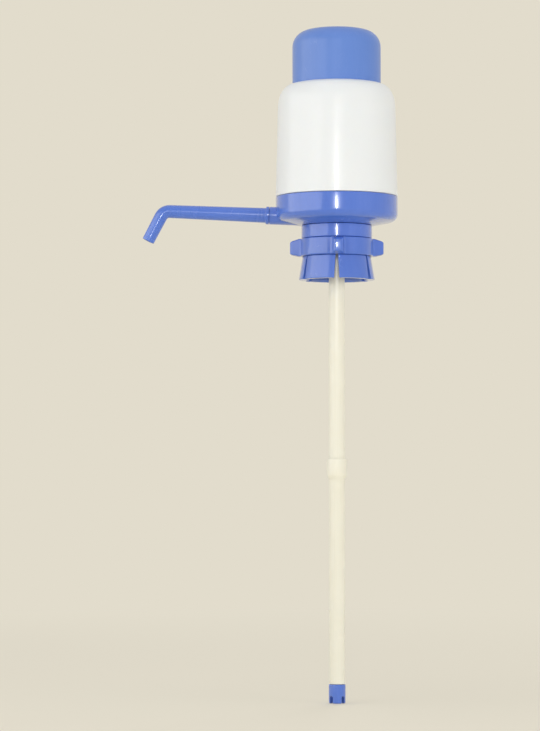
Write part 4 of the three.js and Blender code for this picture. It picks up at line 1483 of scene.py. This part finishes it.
@dataclass
class NeckClamp:
    """What grips the bottle's neck: an adapter with six jaws, the locking nut and the gasket."""

    jaw_bore: float = 29.0
    jaw_flank_steps: int = 22
    ledge: float = 1.0
    ledge_height: float = 0.9
    thread_wall: float = 2.5
    thread_depth: float = 1.0
    thread_pitch: float = 5.0
    thread_foot_half: float = 1.3
    thread_crest_half: float = 0.5
    thread_start: float = 1.6
    thread_end: float = 2.6
    band_wall: float = 3.6
    snap_drop: float = 5.35
    snap_depth: float = 0.7
    snap_flat: float = 0.3
    snap_reach: float = 1.5
    jaw_edge: float = 0.9
    lip_depth: float = 0.8
    lip_height: float = 3.0
    lip_run: float = 1.4  # where the plain bore starts above its foot, in lip heights
    slit_count: int = 6
    slit_top_width: float = 1.8
    slit_mouth_width: float = 4.8
    slit_under_nut: float = 4.0
    flank_edge: float = 0.5
    lug_count: int = 4
    lug_reach: float = 9.5
    lug_root_width: float = 12.0
    lug_tip_width: float = 7.6
    lug_turn: float = -88.0
    lug_drop: float = 3.2
    lug_rise: float = 2.2
    lug_gap_steps: int = 14
    nut_wall: float = 2.2
    nut_edge: float = 1.0
    nut_mouth: float = 0.5
    gasket_bore: float = 14.0
    gasket_step: float = 1.2

    def build(self) -> None:
        """Builds the adapter, the nut and the gasket."""
        self.frame, self.nut_frame = Extent.of("adapter"), Extent.of("locking_nut")
        self.jaw_top = self.nut_frame.low - SEAT_GAP
        self.slit_top = self.jaw_top + self.slit_under_nut
        self.thread_root = self.jaw_bore + self.thread_wall
        self.thread_crest = self.thread_root + self.thread_depth
        self.adapter()
        self.nut()
        self.gasket()

    def band(self) -> Body:
        """The unslit upper part: the band on the base's collar, the ledge and the thread's core."""
        low, high, foot = self.slit_top, self.frame.high, self.nut_frame.high + SEAT_GAP
        bore = self.jaw_bore + self.ledge
        outer, deep = bore + self.band_wall, bore + self.snap_depth
        snap = high + SEAT_GAP - self.snap_drop
        return Body.turned(
            192, (self.jaw_bore, low), (self.thread_root, low), (self.thread_root, foot, 0.4),
            (outer, foot, 0.7), (outer, high, 0.7), (bore, high, 0.3), (bore, snap + self.snap_reach),
            (deep, snap + self.snap_flat), (deep, snap - self.snap_flat), (bore, snap - self.snap_reach),
            (bore, self.ledge_height), (self.jaw_bore, self.ledge_height, 0.3),
        )

    def jaw(self) -> Body:
        """One wedge jaw about +X, its sides cut by the slits and its edges rounded."""
        foot, top, root = self.frame.low, self.jaw_top, self.slit_top + SINK
        lip, lip_foot = self.jaw_bore - self.lip_depth, foot + self.jaw_edge + self.lip_height / 2
        section = rounded([
            (self.jaw_bore, root), (self.jaw_bore, lip_foot + self.lip_height * self.lip_run, 0.8),
            (lip, lip_foot + self.lip_height, 0.8), (lip, lip_foot, 0.8),
            (self.jaw_bore + self.jaw_edge, foot, 0.9), (self.frame.radius - MARGIN, foot, self.jaw_edge),
            (self.thread_crest, top, 0.6), (self.thread_root, top, 0.3), (self.thread_root, root),
        ])
        spread = math.pi / self.slit_count
        slope = (self.slit_mouth_width - self.slit_top_width) / (self.slit_top - foot + OVERRUN)

        def half_angle(r: float, z: float, distance: float) -> float:
            """Angle from the jaw's middle to a point so far inside its flank."""
            width = self.slit_top_width + max(0.0, self.slit_top - z) * slope
            return spread - math.asin((width / 2 + distance) / r)

        def loop(drawn_in: float, distance: float, share: float) -> list[Vector]:
            """The section drawn in, turned by a share of its half angle."""
            turned = [(r, z, share * half_angle(r, z, distance)) for r, z in inset(section, drawn_in)]
            return [Vector((r * math.cos(a), r * math.sin(a), z)) for r, z, a in turned]

        ends = edge_rounding(self.flank_edge)
        steps = self.jaw_flank_steps
        loops = [loop(drawn_in, distance, -1.0) for distance, drawn_in in ends]
        loops += [loop(0.0, self.flank_edge, 2 * i / steps - 1) for i in range(1, steps)]
        loops += [loop(drawn_in, distance, 1.0) for distance, drawn_in in reversed(ends)]
        return Body.skinned(loops, joined=False)

    def thread(self) -> Body:
        """The thread that the nut turns on."""
        out, pitch = self.thread_depth, self.thread_pitch
        foot, crest = self.thread_foot_half, self.thread_crest_half
        section = [(-SINK, -foot), (out, -crest), (out, crest), (-SINK, foot)]
        low = self.slit_top + self.thread_start
        high = self.nut_frame.high + SEAT_GAP - self.thread_end
        return wound_bar(section, self.thread_root, low, pitch, (high - low) / pitch, 96)

    def adapter(self) -> None:
        """Joins the band, the thread and the copies of the jaw."""
        jaws = copies(self.jaw(), GLOSS_BLUE, self.slit_count, turn=180 / self.slit_count - 90)
        made = self.band().joined(self.thread(), jaws)
        place("neck_adapter", made, GLOSS_BLUE, Rider.PUMP, "adapter")

    def lug_outline(self, radius: float, tip: float) -> Outline:
        """The nut's outline from above, with its lugs.

        Args:
            radius: Radius of the nut between its lugs.
            tip: Reach of the lugs.

        Returns:
            The outline's points.
        """
        root, end = self.lug_root_width / 2, self.lug_tip_width / 2
        half = math.asin(root / radius)
        across = radius * math.cos(half)
        lug = [(across, -root, 2.6), (tip, -end, 2.0), (tip, end, 2.0), (across, root, 2.6)]
        gap = 2 * math.pi / self.lug_count - 2 * half
        corners: list[Corner] = []
        for middle in spaced(self.lug_count, self.lug_turn):
            turn = Matrix.Rotation(middle, 2)
            corners += [(*(turn @ Vector((x, y))), edge) for x, y, edge in lug]
            between = [middle + half + gap * i / self.lug_gap_steps for i in range(1, self.lug_gap_steps)]
            corners += [(radius * math.cos(a), radius * math.sin(a)) for a in between]
        return rounded(corners)

    def nut(self) -> None:
        """The locking nut: a ring with rounded edges and four tapering finger lugs."""
        low, high = self.nut_frame.ends
        bore = self.thread_crest + SEAT_GAP
        radius = bore + self.nut_wall
        tip = radius + self.lug_reach
        outline = self.lug_outline(radius, tip)

        def ring(height: float, drawn_in: float, slope: float) -> list[Vector]:
            """The outline at a height, raised by the slope at the tips of the lugs."""
            made = []
            for x, y in inset(outline, drawn_in):
                share = min(1.0, max(0.0, (math.hypot(x, y) - radius) / (tip - radius)))
                made.append(Vector((x, y, height + slope * share**2)))
            return made

        def hole(height: float, reach: float) -> list[Vector]:
            """The bore's circle, with a point for each one of the outline."""
            angles = [math.atan2(y, x) for x, y in outline]
            return [Vector((reach * math.cos(a), reach * math.sin(a), height)) for a in angles]

        edge = edge_rounding(self.nut_edge)
        loops = [ring(low + distance, drawn_in, self.lug_rise) for distance, drawn_in in edge]
        loops += [ring(high - distance, drawn_in, -self.lug_drop) for distance, drawn_in in reversed(edge)]
        loops += [hole(high, bore + self.nut_mouth), hole(high - self.nut_mouth, bore)]
        loops += [hole(low + self.nut_edge, bore), hole(low, bore + self.nut_edge)]
        place("clamp_nut", Body.skinned(loops, joined=True), GLOSS_BLUE, Rider.NUT, "locking_nut")

    def gasket(self) -> None:
        """The stepped rubber washer that the bottle's rim presses on."""
        extent = Extent.of("neck_gasket")
        low, high, bore, edge = extent.low, extent.high, self.gasket_bore, self.jaw_bore - SEAT_GAP
        step = low + self.gasket_step
        made = Body.turned(
            128, (bore, low, 0.4), (edge, low, 0.4), (edge, step), (extent.radius, step, 0.3),
            (extent.radius, high, 0.3), (bore, high, 0.4),
        )
        place("rim_gasket", made, SEAL_RUBBER, Rider.PUMP, "neck_gasket")


@dataclass
class WaterTubes:
    """The two water tubes, one pushed in the other, and the slotted foot."""

    radius: float = 7.55
    wall: float = 1.5
    socket_depth: float = 15.7
    socket_taper: float = 4.0
    foot_bore: float = 4.3
    slot_count: int = 4
    slot_width: float = 4.0
    slot_height: float = 7.0
    sides: int = 72

    def build(self) -> None:
        """Builds both tubes and the foot."""
        self.bore = self.radius - self.wall
        self.upper()
        self.lower()
        self.foot()

    def upper(self) -> None:
        """The plain upper tube."""
        (low, high), bore, radius = Extent.of("upper_tube").ends, self.bore, self.radius
        made = Body.turned(
            self.sides, (bore, low, 0.4), (radius, low, 0.4), (radius, high, 0.4), (bore, high, 0.4)
        )
        place("upper_water_tube", made, MILKY_TUBE, Rider.PUMP, "upper_tube")

    def lower(self) -> None:
        """The lower tube, with the socket that takes the upper one."""
        extent, hole = Extent.of("lower_tube"), self.radius + SEAT_GAP
        low, high, ledge = extent.low, extent.high, extent.high - self.socket_depth
        made = Body.turned(
            self.sides, (self.bore, low, 0.4), (self.radius, low, 0.4),
            (self.radius, ledge - self.socket_taper, 4.0), (extent.radius, ledge, 4.0),
            (extent.radius, high, 0.7), (hole, high, 0.5), (hole, ledge), (self.bore, ledge),
        )
        place("lower_water_tube", made, MILKY_TUBE, Rider.PUMP, "lower_tube")

    def foot(self) -> None:
        """The blue foot, whose slots let the water in near the bottle's floor."""
        extent, bore, nozzle = Extent.of("intake_foot"), self.foot_bore, self.bore - SEAT_GAP
        low, high, shoulder = extent.low, extent.high, Extent.of("lower_tube").low - SEAT_GAP
        shell = Body.turned(
            self.sides, (bore, low, 0.4), (extent.radius, low, 1.0), (extent.radius, shoulder, 0.6),
            (nozzle, shoulder, 0.2), (nozzle, high, 0.8), (bore, high, 0.2),
        )
        half, start, end = self.slot_width / 2, bore / 2, extent.radius + OVERRUN
        flat_top = low + self.slot_height - half
        cutter = Body.block((start, -half, low - OVERRUN), (end, half, flat_top))
        arch = Body.post(half, start, end, 24).moved(Matrix.Rotation(math.pi / 2, 4, "Y"))
        slots = copies(cutter.joined(arch.at(0, 0, flat_top)), FOOT_BLUE, self.slot_count, turn=45)
        place("intake_strainer", shell.cut(slots), FOOT_BLUE, Rider.PUMP, "intake_foot")


@dataclass(frozen=True)
class Lamp:
    """An oblong soft lamp: its place, width and height, and its power in watts."""

    name: str
    place: tuple[float, float, float]
    size: tuple[float, float]
    power: float
    mirrored: bool = True  # whether gloss shows it


@dataclass
class Studio:
    """A pale floor, soft lamps and a camera at the photograph's viewing angle."""

    camera_distance: float = 2400.0
    eye_height: float = -212.0
    frame_share: float = 0.92  # of the picture's height that the pump fills
    sensor: float = 36.0
    floor_gap: float = 0.5
    floor_radius: float = 6000.0
    backdrop: Colour = linear(226, 220, 204)
    paper_shares: tuple[float, float] = (1.17, 1.21)  # of the backdrop's colour
    fade: tuple[float, float] = (0.5, 1.6)  # metres out between which paper turns to backdrop
    fade_start: float = 0.45  # share of backdrop before the fade
    glow: float = 0.26
    lamps: tuple[Lamp, ...] = (
        Lamp("key", (-1990, -930, 400), (3400, 1800), 27),
        Lamp("fill", (2050, -1450, 150), (1300, 1300), 26, mirrored=False),
        Lamp("strip", (0, -2700, 225), (110, 350), 12),
        Lamp("back", (700, 1800, 1300), (1200, 700), 14, mirrored=False),
        Lamp("top", (-300, -400, 2200), (1600, 1600), 14, mirrored=False),
    )

    def build(self) -> None:
        """Sets the view, the floor, the world and the lamps."""
        low, high = (corner / MM for corner in CAD_BOX)
        bpy.context.scene.view_settings.view_transform = "Standard"
        self.camera((low + high) / 2, high.z - low.z)
        self.floor(low.z - self.floor_gap)
        self.world()
        for lamp in self.lamps:
            self.light(lamp, Vector((0, 0, (low.z + high.z) / 2)))

    @staticmethod
    def hung(data: bpy.types.ID, at: Sequence[float], target: Vector) -> bpy.types.Object:
        """Puts a camera or a lamp at a place, so that it faces a target."""
        made = linked(data.name, data)
        made.location = Vector(at) * MM
        made.rotation_euler = (target - Vector(at)).to_track_quat("-Z", "Y").to_euler()
        return made

    def camera(self, target: Vector, height: float) -> None:
        """A long lens, level with the joint of the tubes, that looks at the pump's middle."""
        data = bpy.data.cameras.new("view")
        data.sensor_width = self.sensor
        data.lens = self.sensor * self.camera_distance * self.frame_share / height
        data.clip_end = 100.0
        bpy.context.scene.camera = self.hung(data, (0, -self.camera_distance, self.eye_height), target)

    def light(self, lamp: Lamp, target: Vector) -> None:
        """Hangs a lamp so that it faces the pump's axis at half height."""
        data = bpy.data.lights.new(lamp.name, "AREA")
        data.shape = "RECTANGLE"
        data.size, data.size_y = (value * MM for value in lamp.size)
        data.energy = lamp.power
        self.hung(data, lamp.place, target).visible_glossy = lamp.mirrored

    def floor(self, height: float) -> None:
        """A round floor at that height, which fades into the backdrop away from the pump."""
        disc = bmesh.new()
        turned = Matrix.Translation((0, 0, height * MM))
        bmesh.ops.create_circle(
            disc, cap_ends=True, segments=96, radius=self.floor_radius * MM, matrix=turned
        )
        mesh = bpy.data.meshes.new("floor")
        disc.to_mesh(mesh)
        disc.free()
        mesh.materials.append(self.floor_material())
        linked("floor", mesh)

    def floor_material(self) -> bpy.types.Material:
        """Matt paper that becomes the backdrop's plain colour further out."""
        made = bpy.data.materials.new("floor_paper")
        made.use_nodes = True
        graph, nodes = ShaderGraph(made.node_tree), made.node_tree.nodes
        paper = nodes["Principled BSDF"]
        paper.inputs["Roughness"].default_value = 0.9
        dull, bright = (scaled(self.backdrop, share, share, share) for share in self.paper_shares)
        graph.link(graph.mixed(graph.noise(3.0, 4.0), dull, bright), paper.inputs["Base Color"])
        plain = graph.node("ShaderNodeEmission", {}, {"Color": self.backdrop})
        reach = graph.node("ShaderNodeVectorMath", {"operation": "LENGTH"}, {0: graph.place}, "Value")
        far = reach.ramp(*self.fade, self.fade_start) * graph.seen()
        mixed = graph.blended(far, Wire(graph, paper.outputs[0]), plain)
        behind = graph.node("ShaderNodeNewGeometry", output="Backfacing")
        whole = graph.blended(behind, mixed, graph.node("ShaderNodeBsdfTransparent"))
        graph.link(whole, nodes["Material Output"].inputs["Surface"])
        return made

    def world(self) -> None:
        """An even glow on the pump, with the backdrop's colour where it is seen."""
        made = bpy.data.worlds.new("studio")
        made.use_nodes = True
        bpy.context.scene.world = made
        graph, nodes = ShaderGraph(made.node_tree), made.node_tree.nodes
        glow = nodes["Background"]
        glow.inputs["Color"].default_value = (1.0, 1.0, 1.0, 1.0)
        glow.inputs["Strength"].default_value = self.glow
        shown = graph.node("ShaderNodeBackground", {}, {"Color": self.backdrop, "Strength": 1.0})
        mixed = graph.blended(graph.seen(), Wire(graph, glow.outputs[0]), shown)
        graph.link(mixed, nodes["World Output"].inputs["Surface"])


def main() -> None:
    """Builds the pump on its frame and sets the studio."""
    logging.basicConfig(level=logging.INFO, format="%(name)s: %(message)s")
    for assembly in (
        Studio(), PressHead(), AirCylinder(), BowlBase(), SpoutArm(), NeckClamp(), WaterTubes()
    ):
        assembly.build()
        LOG.info("%s is built", type(assembly).__name__)


if __name__ == "__main__":
    main()
